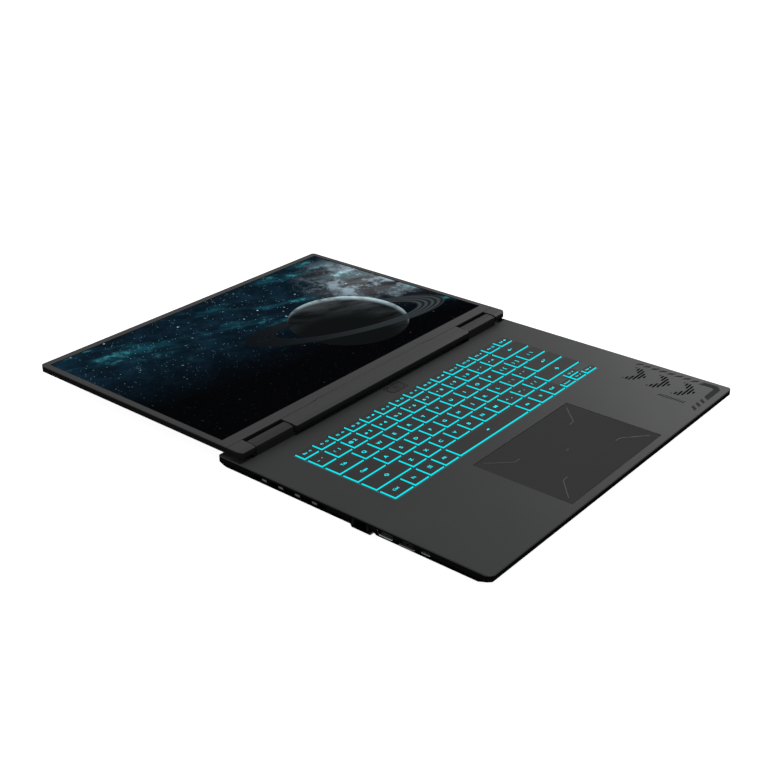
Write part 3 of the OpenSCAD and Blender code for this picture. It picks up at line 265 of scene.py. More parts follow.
def plastic(name, colour, roughness=0.5, specular=0.03, size=GRAIN, height=GRAIN_HEIGHT, uneven=0.12):
    """Moulded plastic: a fine grain of that size and height, a tone that drifts by uneven over a few
    centimetres, and a gloss that drifts with it."""
    made, tree, surface = material(name, roughness, specular)
    drift = noise(tree, DRIFT_SIZE, 4.0)
    tone = mottled(tree, drift, colour, uneven)
    flecks = mottled(tree, noise(tree, size * FLECK), (1.0, 1.0, 1.0), FLECK_DEPTH)
    tree.links.new(combined(tree, "MULTIPLY", tone, flecks), surface.inputs["Base Color"])
    least, most = roughness - GLOSS_DRIFT, roughness + GLOSS_DRIFT
    gloss = shader(tree, "ShaderNodeMapRange", drift, 0.0, 1.0, least, most)
    tree.links.new(gloss.outputs[0], surface.inputs["Roughness"])
    bump = shader(tree, "ShaderNodeBump", GRAIN_STRENGTH, height)
    tree.links.new(noise(tree, size, 3.0), bump.inputs["Height"])
    tree.links.new(bump.outputs[0], surface.inputs["Normal"])
    return made, tree, surface


def shaded_wall_plastic(name, upper, wall_shade, least=UPWARD, **settings):
    """Plastic whose upward faces have one colour and whose walls and underside are matt in another, darker
    colour: painted shade, as though the light fell from above.
    """
    made, tree, surface = plastic(name, upper, **settings)
    tone = surface.inputs["Base Color"].links[0].from_socket
    shine = surface.inputs["Specular IOR Level"]
    upward = facing_up(tree, least)
    tree.links.new(calc(tree, "MULTIPLY", upward, shine.default_value), shine)
    walls = mottled(tree, noise(tree, WALL_BLOTCH), wall_shade, WALL_DEPTH)
    tree.links.new(blend_of(tree, upward, walls, tone), surface.inputs["Base Color"])
    return made, tree, surface


def dress(name, finish):
    """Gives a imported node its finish."""
    mesh = nodes[name].data
    mesh.materials.clear()
    mesh.materials.append(finish)


# Painted highlights on the broad ribs between the openings of the side vents, whose upper ends
# catch the light; the ribs are counted from the one nearest the hinge.
RIB_NEAREST = -33.0 * MM
RIB_PITCH = 17.0 * MM
RIB_COUNT = 4
RIB_MARGIN = 0.3
RIB_REACH = 2.3 * MM
RIB_LOW, RIB_HIGH = 9.6 * MM, 12.1 * MM
RIB_WALL = 0.1775
RIB_HIGHLIGHT_GREY = (0.13, 0.13, 0.135)


def paint_rib_highlights(tree, surface):
    """Paints highlights on the ribs of the side vents, where their upper ends catch light: lighter patches at
    equal pitch on the outermost walls.
    """
    x, y, z = coordinates(tree)
    off = calc(tree, "PINGPONG", calc(tree, "SUBTRACT", y, RIB_NEAREST), RIB_PITCH / 2)
    on_rib = calc(tree, "LESS_THAN", off, RIB_REACH)
    on_wall = calc(tree, "GREATER_THAN", calc(tree, "ABSOLUTE", x), RIB_WALL)
    first = RIB_NEAREST - (RIB_COUNT - 1 + RIB_MARGIN) * RIB_PITCH
    last = RIB_NEAREST + RIB_MARGIN * RIB_PITCH
    rib_highlight_patches = product(tree, on_rib, on_wall, within(tree, y, first, last), within(tree, z, RIB_LOW, RIB_HIGH))
    recolour(tree, surface, rib_highlight_patches, RIB_HIGHLIGHT_GREY)


SHADED_WALL_BLACK = (0.004, 0.0043, 0.0048)
UNLIT = (0.0, 0.0, 0.0)
GLOW = (0.0, 0.87, 0.95)
PAINTED_SPILL_REACH = 3.6 * MM
PAINTED_SPILL_STRENGTH = 0.16
FIELD_EDGE = 0.2 * MM
FIELD_SHADE = 0.95

deck_paint, tree, surface = shaded_wall_plastic("deck_paint", (0.032, 0.0325, 0.033), SHADED_WALL_BLACK, roughness=0.52)
# Painted highlights on the vent ribs of the deck's walls.
paint_rib_highlights(tree, surface)

# A painted glow stands for the light of the keys that spills over the deck on their near and left
# sides. The caps hide it from the others, and little of it reaches the deck between the keys.
field_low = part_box("key_left_shift")[0].x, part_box("keys_modifier_row")[0].y
field_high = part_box("key_right_shift")[1].x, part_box("keys_function_row")[1].y
x, y, z = coordinates(tree)
beside = outside(tree, x, field_low[0], field_high[0])
before = outside(tree, y, field_low[1], field_high[1])
away = calc(tree, "SQRT", calc(tree, "ADD", product(tree, beside, beside), product(tree, before, before)))
painted_spill = calc(tree, "POWER", ramp(tree, away, PAINTED_SPILL_REACH, 0.0), 2.0)
between_keys = product(tree, calc(tree, "LESS_THAN", away, FIELD_EDGE), FIELD_SHADE)
past_right = calc(tree, "GREATER_THAN", x, field_high[0])
past_back = calc(tree, "GREATER_THAN", y, field_high[1])
hidden = calc(tree, "MAXIMUM", between_keys, calc(tree, "MAXIMUM", past_right, past_back))
share = product(tree, painted_spill, calc(tree, "SUBTRACT", 1.0, hidden))
tree.links.new(blend_of(tree, share, UNLIT, GLOW), surface.inputs["Emission Color"])
surface.inputs["Emission Strength"].default_value = PAINTED_SPILL_STRENGTH
dress("top_case", deck_paint)

# ---------------------------------------------------------------- print on the deck
# Warning-tape dashes, a bracket and hatched arrowheads are pad printed in grey and in black on the
# right-hand palm rest. The print is a few hundredths of a millimetre thick.

PRINT = 0.00004
WHOLE_TURN = 360.0
HAIRLINE = 0.5


def prism(outline, z, thickness=PRINT):
    """A flat shape of that thickness standing on z: its outline (counter-clockwise) below and above,
    joined by walls."""
    outline = np.asarray(outline, float)
    count = len(outline)
    low = np.column_stack((outline, np.full(count, z)))
    high = low + (0, 0, thickness)
    here = np.arange(count)
    after = (here + 1) % count
    walls = np.column_stack((here, after, after + count, here + count))
    ends = [tuple(range(count))[::-1], tuple(range(count, 2 * count))]
    return np.vstack((low, high)), [*ends, *map(tuple, walls.tolist())]


def stroke(points, width, z, thickness=PRINT):
    """A line of that width through the points: each corner is mitred along the mean of its two normals."""
    points = np.asarray(points, float)
    run = np.diff(points, axis=0)
    run /= np.linalg.norm(run, axis=1)[:, None]
    normal = np.column_stack((-run[:, 1], run[:, 0]))
    mitre = np.vstack((normal[:1], normal[:-1] + normal[1:], normal[-1:]))
    mitre /= (mitre * np.vstack((normal[:1], normal))).sum(1)[:, None]
    one_side = points - mitre * width / 2
    other_side = points + mitre * width / 2
    return prism(np.vstack((one_side, other_side[::-1])), z, thickness)


def ring(x, y, outer, inner, z, start=0.0, end=WHOLE_TURN, steps=28):
    """An arc of a flat ring: an outer arc out and an inner arc back; a whole ring keeps a hairline gap."""
    gap = HAIRLINE if end - start == WHOLE_TURN else 0
    angle = np.radians(np.linspace(start, end - gap, steps))
    arc = np.column_stack((np.cos(angle), np.sin(angle)))
    return prism(np.vstack((arc * outer, arc[::-1] * inner)) + (x, y), z)


def joined(name, slabs, finish, body):
    """One piece out of many small solids, riding on a body."""
    starts = np.cumsum([0] + [len(points) for points, _ in slabs])
    faces = [tuple(i + start for i in face) for start, (_, parts) in zip(starts, slabs) for face in parts]
    mesh = bpy.data.meshes.new(name)
    mesh.from_pydata(np.vstack([points for points, _ in slabs]).tolist(), [], faces)
    mesh.materials.append(finish)
    piece = bpy.data.objects.new(name, mesh)
    bpy.context.scene.collection.objects.link(piece)
    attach(piece, body)


deck_z = 15.3 * MM
grey_ink = plastic("grey_ink", (0.029, 0.0293, 0.0295), roughness=0.6, specular=0.0)[0]
black_ink = plastic("black_ink", (0.0028, 0.0028, 0.003), roughness=0.7, specular=0.0)[0]

# Outlines of the dashes, the blocks and the bracket, in millimetres.
DASH = np.array([(-3.3, 3.15), (-0.6, -2.15), (3.3, -3.15), (0.5, 2.15)])
DASH_PLACE = np.array((171.1, -156.8))
DASH_PITCH = 7.68
DASH_COUNT = 8
BLOCK = np.array([(137.1, -235.3), (140.9, -235.3), (144.6, -230.2), (140.9, -230.2)])
BLOCK_COUNT = 3
BRACKET = np.array([(168.0, -214.8), (168.4, -227.9), (166.6, -230.1), (149.4, -230.1), (145.2, -235.4),
                    (168.9, -235.3), (174.3, -229.9), (173.9, -218.4)])
dashes = [prism((DASH + DASH_PLACE - (0, i * DASH_PITCH)) * MM, deck_z) for i in range(DASH_COUNT)]
dashes += [prism((BLOCK - (i * DASH_PITCH, 0)) * MM, deck_z) for i in range(BLOCK_COUNT)]
dashes.append(prism(BRACKET * MM, deck_z))
joined("deck_dashes", dashes, grey_ink, "base")

# Outlines of an arrowhead and a tick, in millimetres, and where they repeat along Y.
CHEVRON = np.array([(137.8, 0.0), (150.6, -9.0), (163.4, 0.0), (163.4, 7.8), (150.6, -1.2), (137.8, 7.8)])
CHEVRON_Y = (-165.0, -188.5, -212.0)
HATCH_PITCH = 2.9
HATCH_WIDTH = 1.6
TICK = np.array([(127.6, 0.0), (131.4, -1.6), (131.4, -0.7), (127.6, 0.9)])
TICK_Y = -198.4
TICK_PITCH = 2.5
TICK_COUNT = 10


def hatched(outline, pitch, width):
    """Bars along X that fill an outline: a scan line at each pitch is cut where it crosses the outline's
    edges, at x0 + (y - y0) / (y1 - y0) * (x1 - x0), and each pair of crossings ends a bar."""
    bars = []
    after = np.roll(outline, -1, axis=0)
    for y in np.arange(outline[:, 1].min() + pitch / 2, outline[:, 1].max(), pitch):
        crosses = (outline[:, 1] > y) != (after[:, 1] > y)
        start, end = outline[crosses], after[crosses]
        share = (y - start[:, 1]) / (end[:, 1] - start[:, 1])
        low, high = y - width / 2, y + width / 2
        for x0, x1 in np.sort(start[:, 0] + share * (end[:, 0] - start[:, 0])).reshape(-1, 2):
            bars.append([(x0, low), (x1, low), (x1, high), (x0, high)])
    return bars


bars = hatched(CHEVRON, HATCH_PITCH, HATCH_WIDTH)
marks = [prism((np.array(bar) + (0, y)) * MM, deck_z) for y in CHEVRON_Y for bar in bars]
marks += [prism((TICK + (0, TICK_Y - i * TICK_PITCH)) * MM, deck_z) for i in range(TICK_COUNT)]
joined("deck_hatching", marks, black_ink, "base")

# ---------------------------------------------------------------- bottom cover
# The tub that carries the feet and the vents is black moulded plastic with a coarser spark-eroded
# grain. The ribs in its vents carry painted highlights in a lighter grey. Screws with crossed
# recesses hold it.

black_shell, tree, surface = plastic("black_shell", (0.0034, 0.0036, 0.004), specular=0.0, size=0.0006)
# Painted highlights on the vent ribs of the bottom cover.
paint_rib_highlights(tree, surface)
rubber = plastic("foot_rubber", (0.008, 0.008, 0.008), roughness=0.85, specular=0.05, size=0.0009,
                 height=0.00005)[0]
dress("bottom_cover", black_shell)
dress("rubber_feet", rubber)

MARK_SIZE = 0.0008
MARK_DEPTH = 0.08
BRIGHTER, DULLER = 0.08, 0.10


def metal(name, colour, roughness, along=(1.0, 1.0, 1.0)):
    """Metal with fine marks: noise squeezed along one axis roughens and tints it."""
    made, tree, surface = material(name, roughness, 0.5, 1.0)
    squeezed = shader(tree, "ShaderNodeMapping", place_of(tree))
    squeezed.inputs["Scale"].default_value = along
    marks = noise(tree, MARK_SIZE, 3.0, where=squeezed.outputs[0])
    tree.links.new(mottled(tree, marks, colour, MARK_DEPTH), surface.inputs["Base Color"])
    least, most = roughness - BRIGHTER, roughness + DULLER
    gloss = shader(tree, "ShaderNodeMapRange", marks, 0.0, 1.0, least, most)
    tree.links.new(gloss.outputs[0], surface.inputs["Roughness"])
    return made


steel = metal("brushed_steel", (0.52, 0.53, 0.55), 0.3, (1.0, 8.0, 8.0))
black_zinc = metal("blackened_screw_steel", (0.1, 0.1, 0.11), 0.4)
dress("cover_screws", black_zinc)
dress("hinge_screws", steel)

# ---------------------------------------------------------------- keyboard
# Steel plate, light guide and moulded caps. The lamps under the plate shine out through the clear
# skirts of the caps, while each cap's painted top stays dark apart from its cut-out legend.

CLEAR_BASE = (0.0, 0.004, 0.005)
CLEAR_ROUGHNESS = 0.4
CYAN_BLOTCH = 0.02
CYAN_DIMMEST, CYAN_BRIGHTEST = 0.94, 1.05
DOWNWARD = -0.5
CAP_PAINT = (0.029, 0.029, 0.0295)
PLATE_GREY = (0.04, 0.04, 0.041)
SKIRT_GLOW = 1.06
PLATE_GLOW = 0.12
GUIDE_GLOW = 1.0
LEGEND_GLOW = 1.4
DARK_FROM, LIT_UP_TO = 0.75 * MM, 0.3 * MM


def cyan_light(tree):
    """Socket with the cyan of the glow, which wavers by a few hundredths from place to place."""
    cyan = np.array(GLOW)
    return blend_of(tree, noise(tree, CYAN_BLOTCH), cyan * CYAN_DIMMEST, cyan * CYAN_BRIGHTEST)


def glowing(name, strength):
    """A clear surface that is lit from behind, but not where it faces down."""
    made, tree, surface = material(name, CLEAR_ROUGHNESS, 0.0)
    surface.inputs["Base Color"].default_value = (*CLEAR_BASE, 1.0)
    shown = blend_of(tree, facing_up(tree, DOWNWARD), UNLIT, cyan_light(tree))
    tree.links.new(shown, surface.inputs["Emission Color"])
    surface.inputs["Emission Strength"].default_value = strength
    return made, tree, surface


# The caps are matt and dark above. Their walls glow, from nothing near the top to full by the deck.
cap_finish, tree, surface = plastic("cap_paint_and_lit_skirt", CAP_PAINT, roughness=0.6, specular=0.02,
                                    size=0.0003, height=0.00001)
walls = calc(tree, "SUBTRACT", 1.0, facing_up(tree, UPWARD))
depth = ramp(tree, coordinates(tree)[2], deck_z + DARK_FROM, deck_z + LIT_UP_TO)
skirt = product(tree, walls, depth)
recolour(tree, surface, skirt, CLEAR_BASE)
tree.links.new(blend_of(tree, skirt, UNLIT, cyan_light(tree)), surface.inputs["Emission Color"])
surface.inputs["Emission Strength"].default_value = SKIRT_GLOW
for name in nodes:
    if name.startswith(("key_", "keys_")):
        dress(name, cap_finish)

# The plate carries a painted glow under the keys, for the backlight that falls on it, and is painted
# like the deck above the two side arrows.
plate, tree, surface = glowing("lit_plate", PLATE_GLOW)
arrows_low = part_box("key_arrow_left")[0]
arrows_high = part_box("key_arrow_right")[1]
x, y, z = coordinates(tree)
beside = outside(tree, x, arrows_low.x, arrows_high.x)
beyond = outside(tree, y, arrows_high.y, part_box("key_arrow_up")[1].y)
painted = calc(tree, "LESS_THAN", calc(tree, "MAXIMUM", beside, beyond), FIELD_EDGE)
recolour(tree, surface, painted, UNLIT, "Emission Color")
tree.links.new(blend_of(tree, painted, CLEAR_BASE, PLATE_GREY), surface.inputs["Base Color"])
dress("keyboard_plate", plate)
dress("backlight_sheet", glowing("light_guide", GUIDE_GLOW)[0])

cap_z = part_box("key_enter")[1].z

# Height of the built-in font's capitals, and how far its outlines are made bolder, at size 1.
FONT_CAPITAL = 0.69
FONT_WEIGHT = 0.014

# Heights of the legends, their places from the middle of a cap, how far they are widened, and the
# widths of their strokes.
LETTER, LETTER_X, LETTER_STRETCH = 3.0 * MM, -2.0 * MM, 1.24
UPPER, UPPER_X, LOWER_X = 2.46 * MM, -4.2 * MM, 1.0 * MM
WORD, WORD_X, WORD_STRETCH = 2.415 * MM, -1.2 * MM, 1.05
SMALL, SMALL_X, ICON_X = 2.1 * MM, -2.4 * MM, 3.4 * MM
SMALLEST, TRIANGLE_X = 1.6 * MM, 2.6 * MM
THIN, THINNER, THINNEST = 0.55 * MM, 0.45 * MM, 0.3 * MM
SAME_LEVEL = 0.02 * MM


def lettering(words, x, y, height, stretch=LETTER_STRETCH):
    """Words as a thin slab with its middle at (x, y): the built-in font's faces below and above, PRINT
    apart, and a wall on each edge that belongs to one face alone."""
    curve = bpy.data.curves.new("words", "FONT")
    curve.body = words
    curve.size = 1.0
    curve.offset = FONT_WEIGHT
    writing = bpy.data.objects.new("words", curve)
    bpy.context.scene.collection.objects.link(writing)
    bpy.context.view_layer.update()
    flat = writing.evaluated_get(bpy.context.evaluated_depsgraph_get()).to_mesh()
    points = np.zeros(len(flat.vertices) * 3)
    flat.vertices.foreach_get("co", points)
    points = points.reshape(-1, 3)[:, :2]
    tops = [tuple(face.vertices) for face in flat.polygons]
    bpy.data.objects.remove(writing)
    rims = {}
    for face in tops:
        for start, end in zip(face, face[1:] + face[:1]):
            if (end, start) in rims:
                del rims[end, start]
            else:
                rims[start, end] = True
    middle = (points.min(0) + points.max(0)) / 2
    middle[1] = FONT_CAPITAL / 2
    scale = height / FONT_CAPITAL
    points = (points - middle) * (scale * stretch, scale) + (x, y)
    count = len(points)
    low = np.column_stack((points, np.full(count, cap_z)))
    faces = [tuple(i + count for i in face) for face in tops] + [face[::-1] for face in tops]
    faces += [(start, end, end + count, start + count) for start, end in rims]
    return np.vstack((low, low + (0, 0, PRINT))), faces


def cap_boxes(name):
    """The tops of a node's caps from left to right, as [x0, x1, y0, y1]: its highest points in pairs."""
    points = np.array([vertex.co for vertex in nodes[name].data.vertices])
    top = points[points[:, 2] > points[:, 2].max() - SAME_LEVEL]
    edges = np.unique(np.round(top[:, 0], 5)).reshape(-1, 2)
    return [(x0, x1, top[:, 1].min(), top[:, 1].max()) for x0, x1 in edges]


def drawn(lines, x, y, width):
    """Strokes of that width along lines that are given in millimetres from (x, y)."""
    return [stroke(np.array(line) * MM + (x, y), width, cap_z) for line in lines]


def filled(outline, x, y):
    """A solid sign inside an outline that is given in millimetres from (x, y)."""
    return [prism(np.array(outline) * MM + (x, y), cap_z)]


def arrow_left(x, y):
    """A long arrow to the left: a shaft and two barbs."""
    return drawn([[(-2.6, 0.0), (2.6, 0.0)], [(-1.0, -1.5), (-2.6, 0.0), (-1.0, 1.5)]], x, y, THIN)


def arrow_return(x, y):
    """A line down and back with a barb."""
    line = [(2.4, 1.6), (2.4, -0.6), (-2.4, -0.6)]
    barb = [(-1.0, -1.9), (-2.5, -0.6), (-1.0, 0.7)]
    return drawn([line, barb], x, y, THIN)


def arrow_shift(x, y):
    """The outline of a broad arrow that points away."""
    head = [(-1.9, 0.0), (0.0, 1.8), (1.9, 0.0)]
    outline = [(-0.8, -1.5), (-0.8, 0.0), *head, (0.8, 0.0), (0.8, -1.5), (-0.8, -1.5)]
    return drawn([outline], x, y, THINNER)


def triangle(x, y, turn):
    """A small solid triangle turned by quarter turns."""
    angle = np.radians([90 + turn, 210 + turn, 330 + turn])
    return filled(np.column_stack((np.cos(angle), np.sin(angle))), x, y)


def dots(x, y):
    """Three by three dots."""
    steps = (-1.3 * MM, 0.0, 1.3 * MM)
    return [ring(x + right, y + up, 0.45 * MM, 0.02 * MM, cap_z, steps=9) for right in steps for up in steps]


def menu_bars(x, y):
    """Three short bars."""
    return drawn([[(-1.4, up), (1.4, up)] for up in (-1.0, 0.0, 1.0)], x, y, 0.4 * MM)


def lozenge(x, y):
    """A filled lozenge."""
    return filled([(-1.7, 0), (0, -1.1), (1.7, 0), (0, 1.1)], x, y)


def sun(x, y):
    """A ring with four rays."""
    compass = np.array([(1, 0), (0, 1), (-1, 0), (0, -1)])
    rays = drawn([(way * 0.95, way * 1.5) for way in compass], x, y, THINNEST)
    return [ring(x, y, 0.7 * MM, 0.35 * MM, cap_z, steps=12), *rays]


def waves(x, y):
    """A small cone with one arc of sound."""
    cone = [(-1.2, -0.35), (-0.5, -0.35), (0.1, -1.0), (0.1, 1.0), (-0.5, 0.35), (-1.2, 0.35)]
    return [*filled(cone, x, y), ring(x, y, 1.2 * MM, 0.85 * MM, cap_z, -50, 50, 8)]


def screen_outline(x, y):
    """The outline of a small screen."""
    outline = [(-1.2, -0.8), (1.2, -0.8), (1.2, 0.8), (-1.2, 0.8), (-1.2, -0.8)]
    return drawn([outline], x, y, 0.35 * MM)


ICONS = (sun, screen_outline, waves, menu_bars, lozenge)
ARROW_WORDS = {0: "Up", 90: "Home", 180: "Dn", 270: "End"}
LEGENDS = {
    "keys_function_row": ["Esc"] + [f"F{i}" for i in range(1, 13)] + ["Prt", "Del"],
    "keys_number_row": ["~`", "!1", "@2", "#3", "$4", "%5", "^6", "&7", "*8", "(9", ")0", "_-", "+="],
    "keys_top_letter_row": [*"QWERTYUIOP", "{[", "}]", "|\\"],
    "keys_home_row": [*"ASDFGHJKL", ":;", "\"'"],
    "keys_bottom_letter_row": [*"ZXCVBNM", "<,", ">.", "?/"],
    "keys_modifier_row": ["Ctrl", "Fn", dots, "Alt", "Alt", menu_bars, "Ctrl"],
    "key_tab": ["Tab"], "key_caps_lock": ["Caps"], "key_left_shift": [arrow_shift],
    "key_right_shift": [arrow_shift], "key_enter": [arrow_return], "key_backspace": [arrow_left],
    "key_space_bar": [lozenge],
    "key_arrow_left": [90], "key_arrow_down": [180], "key_arrow_up": [0], "key_arrow_right": [270],
}


def cap_legend(what, x, y, number, row):
    """The slabs of one legend: a drawn sign, a triangle, one letter, two signs side by side, or a word."""
    if callable(what):
        return what(x, y)
    if isinstance(what, int):
        return [*triangle(x + TRIANGLE_X, y, what), lettering(ARROW_WORDS[what], x + SMALL_X, y, SMALLEST)]
    if row == "keys_function_row":
        icon = ICONS[number % len(ICONS)](x + ICON_X, y)
        return [lettering(what, x + SMALL_X, y, SMALL, 1.0), *icon]
    if len(what) == 1:
        return [lettering(what, x + LETTER_X, y, LETTER)]
    if len(what) == 2 and what != "Fn":
        return [lettering(what[0], x + UPPER_X, y, UPPER), lettering(what[1], x + LOWER_X, y, LETTER)]
    return [lettering(what, x + WORD_X, y, WORD, WORD_STRETCH)]


legend_light = glowing("legend_light", LEGEND_GLOW)[0]
for name, row in LEGENDS.items():
    slabs = []
    for number, (what, (x0, x1, y0, y1)) in enumerate(zip(row, cap_boxes(name), strict=True)):
        slabs += cap_legend(what, (x0 + x1) / 2, (y0 + y1) / 2, number, name)
    joined("legend_" + name, slabs, legend_light, name)

# ---------------------------------------------------------------- touchpad and power button
# The touchpad is etched glass over a dark print, with thin corner lines. The power button is a
# moulded cap with a printed sign, inside a printed outline.

pad_glass = plastic("etched_glass", (0.0335, 0.0335, 0.034), roughness=0.6, specular=0.0, size=0.0002,
                    height=0.000004, uneven=0.05)[0]
dress("touchpad", pad_glass)
dress("touchpad_frame", steel)
pad_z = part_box("touchpad")[1].z
pad_ink = plastic("pad_lines", (0.062, 0.064, 0.066), roughness=0.5, specular=0.1)[0]

# Lines of the touchpad's right half, which the left half mirrors, and its middle mark, in millimetres.
FAR_LINE = [(59.5, -150.3), (42.3, -167.7), (35.7, -168.1)]
NEAR_LINE = [(61.2, -227.9), (42.2, -211.2), (35.6, -210.7)]
MIDDLE_MARK = [(-1.6, -190.2), (-1.6, -188.6), (1.6, -188.6)]
LINE_WIDTH = 0.35 * MM
MARK_WIDTH = 0.3 * MM
PAD_PRINT = 0.00002
lines = []
for line in (FAR_LINE, NEAR_LINE):
    for side in (1, -1):
        lines.append(stroke(np.array(line) * (side, 1) * MM, LINE_WIDTH, pad_z, PAD_PRINT))
lines.append(stroke(np.array(MIDDLE_MARK) * MM, MARK_WIDTH, pad_z, PAD_PRINT))
joined("touchpad_lines", lines, pad_ink, "touchpad")

SIGN_OUTER, SIGN_INNER = 2.3 * MM, 1.85 * MM
SIGN_START, SIGN_END, SIGN_STEPS = 120, 420, 24
SIGN_BAR_FROM, SIGN_BAR_TO, SIGN_BAR_WIDTH = 0.6 * MM, 2.7 * MM, 0.45 * MM
RIM = 0.3 * MM
RIM_WIDTH = 0.5 * MM
CORNER_CUT = 3.0 * MM

button_paint = plastic("button_paint", (0.030, 0.030, 0.031), roughness=0.55, specular=0.02)[0]
dress("power_button", button_paint)
button_low, button_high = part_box("power_button")
button_x = (button_low.x + button_high.x) / 2
button_y = (button_low.y + button_high.y) / 2
button_z = button_high.z
sign_bar = [(button_x, button_y + SIGN_BAR_FROM), (button_x, button_y + SIGN_BAR_TO)]
sign = [ring(button_x, button_y, SIGN_OUTER, SIGN_INNER, button_z, SIGN_START, SIGN_END, SIGN_STEPS),
        stroke(sign_bar, SIGN_BAR_WIDTH, button_z)]
joined("power_sign", sign, black_ink, "power_button")
low_x, low_y = button_low.x - RIM, button_low.y - RIM
high_x, high_y = button_high.x + RIM, button_high.y + RIM
outline = [(low_x, low_y + CORNER_CUT), (low_x + CORNER_CUT, low_y), (high_x, low_y), (high_x, high_y),
           (low_x, high_y), (low_x, low_y + CORNER_CUT)]
joined("power_outline", [stroke(outline, RIM_WIDTH, deck_z)], black_ink, "base")

# ---------------------------------------------------------------- sockets
# Drawn steel shells sit behind the openings in the sides. The steel is painted near black as
# shade inside the openings, all but its floor, which keeps a lighter steel tone. The other sockets
# are black moulded plastic.

FLOOR_RISE = 0.6 * MM
FLOOR_FADE = 0.1 * MM
SHELL_SHADE_GREY = (0.010, 0.010, 0.011)

# Height of each shell's lower wall, and the tone of its floor.
SHELLS = {"hdmi_port": (8.0 * MM, 0.42), "usb_a_left": (7.5 * MM, 0.2), "usb_a_right": (7.5 * MM, 0.3),
          "usb_c_port": (9.05 * MM, 0.32)}

dark_plastic = plastic("connector_plastic", (0.003, 0.003, 0.003), specular=0.02)[0]
for name, (lowest, floor_tone) in SHELLS.items():
    # Each shell is painted near black as shade; its floor is left in a lighter steel tone.
    shaded_steel = metal(name + "_steel", SHELL_SHADE_GREY, 0.5, (8.0, 1.0, 1.0))
    tree = shaded_steel.node_tree
    floor_z = lowest + FLOOR_RISE
    unshaded_floor = ramp(tree, coordinates(tree)[2], floor_z + FLOOR_FADE, floor_z)
    recolour(tree, tree.nodes["Principled BSDF"], unshaded_floor, (floor_tone,) * 3)
    dress(name, shaded_steel)
for name in ("rj45_socket", "rj45_jaw", "audio_jack", "dc_in_jack"):
    dress(name, dark_plastic)

# ---------------------------------------------------------------- hinges
# Two raised hinges carry the lid. Steel brackets are screwed under the deck, and the spindle of each
# steel arm turns in a bracket's knuckle. A moulded and painted cover hides each hinge.

# The cover's walls and underside are painted darker than its top, as shade.
hinge_shell = shaded_wall_plastic("hinge_cover_paint", (0.025, 0.025, 0.0255), (0.010, 0.010, 0.0103), 0.45)[0]
for name in ("hinge_cover_left", "hinge_cover_right"):
    dress(name, hinge_shell)
for name in ("hinge_bracket_left", "hinge_bracket_right", "hinge_arm_left", "hinge_arm_right"):
    dress(name, steel)

# ---------------------------------------------------------------- lid
# An aluminium back cover, a moulded bezel round the panel, and a trim along the hinge side that
# hides the aerials and the cable. A fine beaded groove runs along the trim, with a jog at each end;
# it is not cut, and its shade is painted on as a dark line.

GROOVE_Y = 7.95 * MM
GROOVE_REACH = 0.3 * MM
GROOVE_SHADE_TONE = (0.006, 0.006, 0.0062)
JOG_OUT, JOG_IN, JOG_DEPTH = 84.0 * MM, 66.0 * MM, 1.9 * MM
BEAD_PITCH = 1.6 * MM
BEAD_REACH = 0.5 * MM

# The walls and undersides of the back cover and of the bezel are painted darker, as shade.
lid_paint = shaded_wall_plastic("lid_paint", (0.02, 0.02, 0.021), (0.0075, 0.0078, 0.0085), 0.5, roughness=0.42)[0]
bezel_paint, tree, surface = shaded_wall_plastic("bezel_paint", (0.037, 0.037, 0.038), (0.010, 0.010, 0.0105), 0.5)
x, y, z = coordinates(tree)
reach = calc(tree, "ABSOLUTE", x)
jog = product(tree, ramp(tree, reach, JOG_OUT, JOG_IN), JOG_DEPTH)
off_line = calc(tree, "ABSOLUTE", calc(tree, "SUBTRACT", y, calc(tree, "ADD", GROOVE_Y, jog)))
on_line = calc(tree, "LESS_THAN", off_line, GROOVE_REACH)
beads = calc(tree, "LESS_THAN", calc(tree, "PINGPONG", x, BEAD_PITCH / 2), BEAD_REACH)
slanted = within(tree, reach, JOG_IN, JOG_OUT)
groove_shade = product(tree, on_line, calc(tree, "MAXIMUM", beads, slanted))
# Painted shade of the groove and its beads.
recolour(tree, surface, groove_shade, GROOVE_SHADE_TONE)
dress("lid_cover", lid_paint)
dress("display_bezel", bezel_paint)
dress("chin_trim", bezel_paint)

# ---------------------------------------------------------------- screen
# The panel is glass over lit pixels. It shows a night sky: teal dust that grows white to the far
# right, stars, and a dark ringed planet with a lit edge, drawn by noise and distances alone.

SCREEN_Z = 23.9 * MM
DUST_TURN = -24.0
DUST_STRETCH = 0.35
DUST_SLOPE = 0.25
CLOUD_SIZE, WISP_SIZE, BAND_SIZE = 1 / 26, 1 / 34, 1 / 60
NIGHT_TO, SKY_FROM = 60 * MM, 170 * MM
TEAL_FROM, TEAL_FULL = 90 * MM, 180 * MM
WHITE_X, WHITE_Y, WHITE_RADIUS = 158 * MM, 150 * MM, 85 * MM
NIGHT_BLACK, NIGHT_BLUE = (0.0004, 0.0005, 0.0007), (0.0022, 0.0075, 0.014)
HAZE_BLUE = (0.003, 0.014, 0.024)
DUST_TEAL, DUST_BRIGHT = (0.006, 0.070, 0.095), (0.14, 0.80, 0.85)
DUST_WHITE, DUST_BROWN = (0.34, 0.44, 0.50), (0.10, 0.09, 0.085)
STARLIGHT = (0.5, 0.85, 0.95)

# Spacing of the stars, their size as a share of it, and how rare they are from 0 to 1.
FINE_STARS = (1.9 * MM, 0.34, 0.84)
LARGE_STARS = (7.5 * MM, 0.19, 0.80)
FINE_STAR_LIGHT = 0.6
NIGHT_STAR_LIGHT = 0.07


def distance_to(tree, x, y, radius):
    """Socket with the distance from a point of the screen, as a share of a radius."""
    apart = shader(tree, "ShaderNodeVectorMath", place_of(tree), (x, y, SCREEN_Z), operation="DISTANCE")
    return calc(tree, "DIVIDE", apart.outputs["Value"], radius)


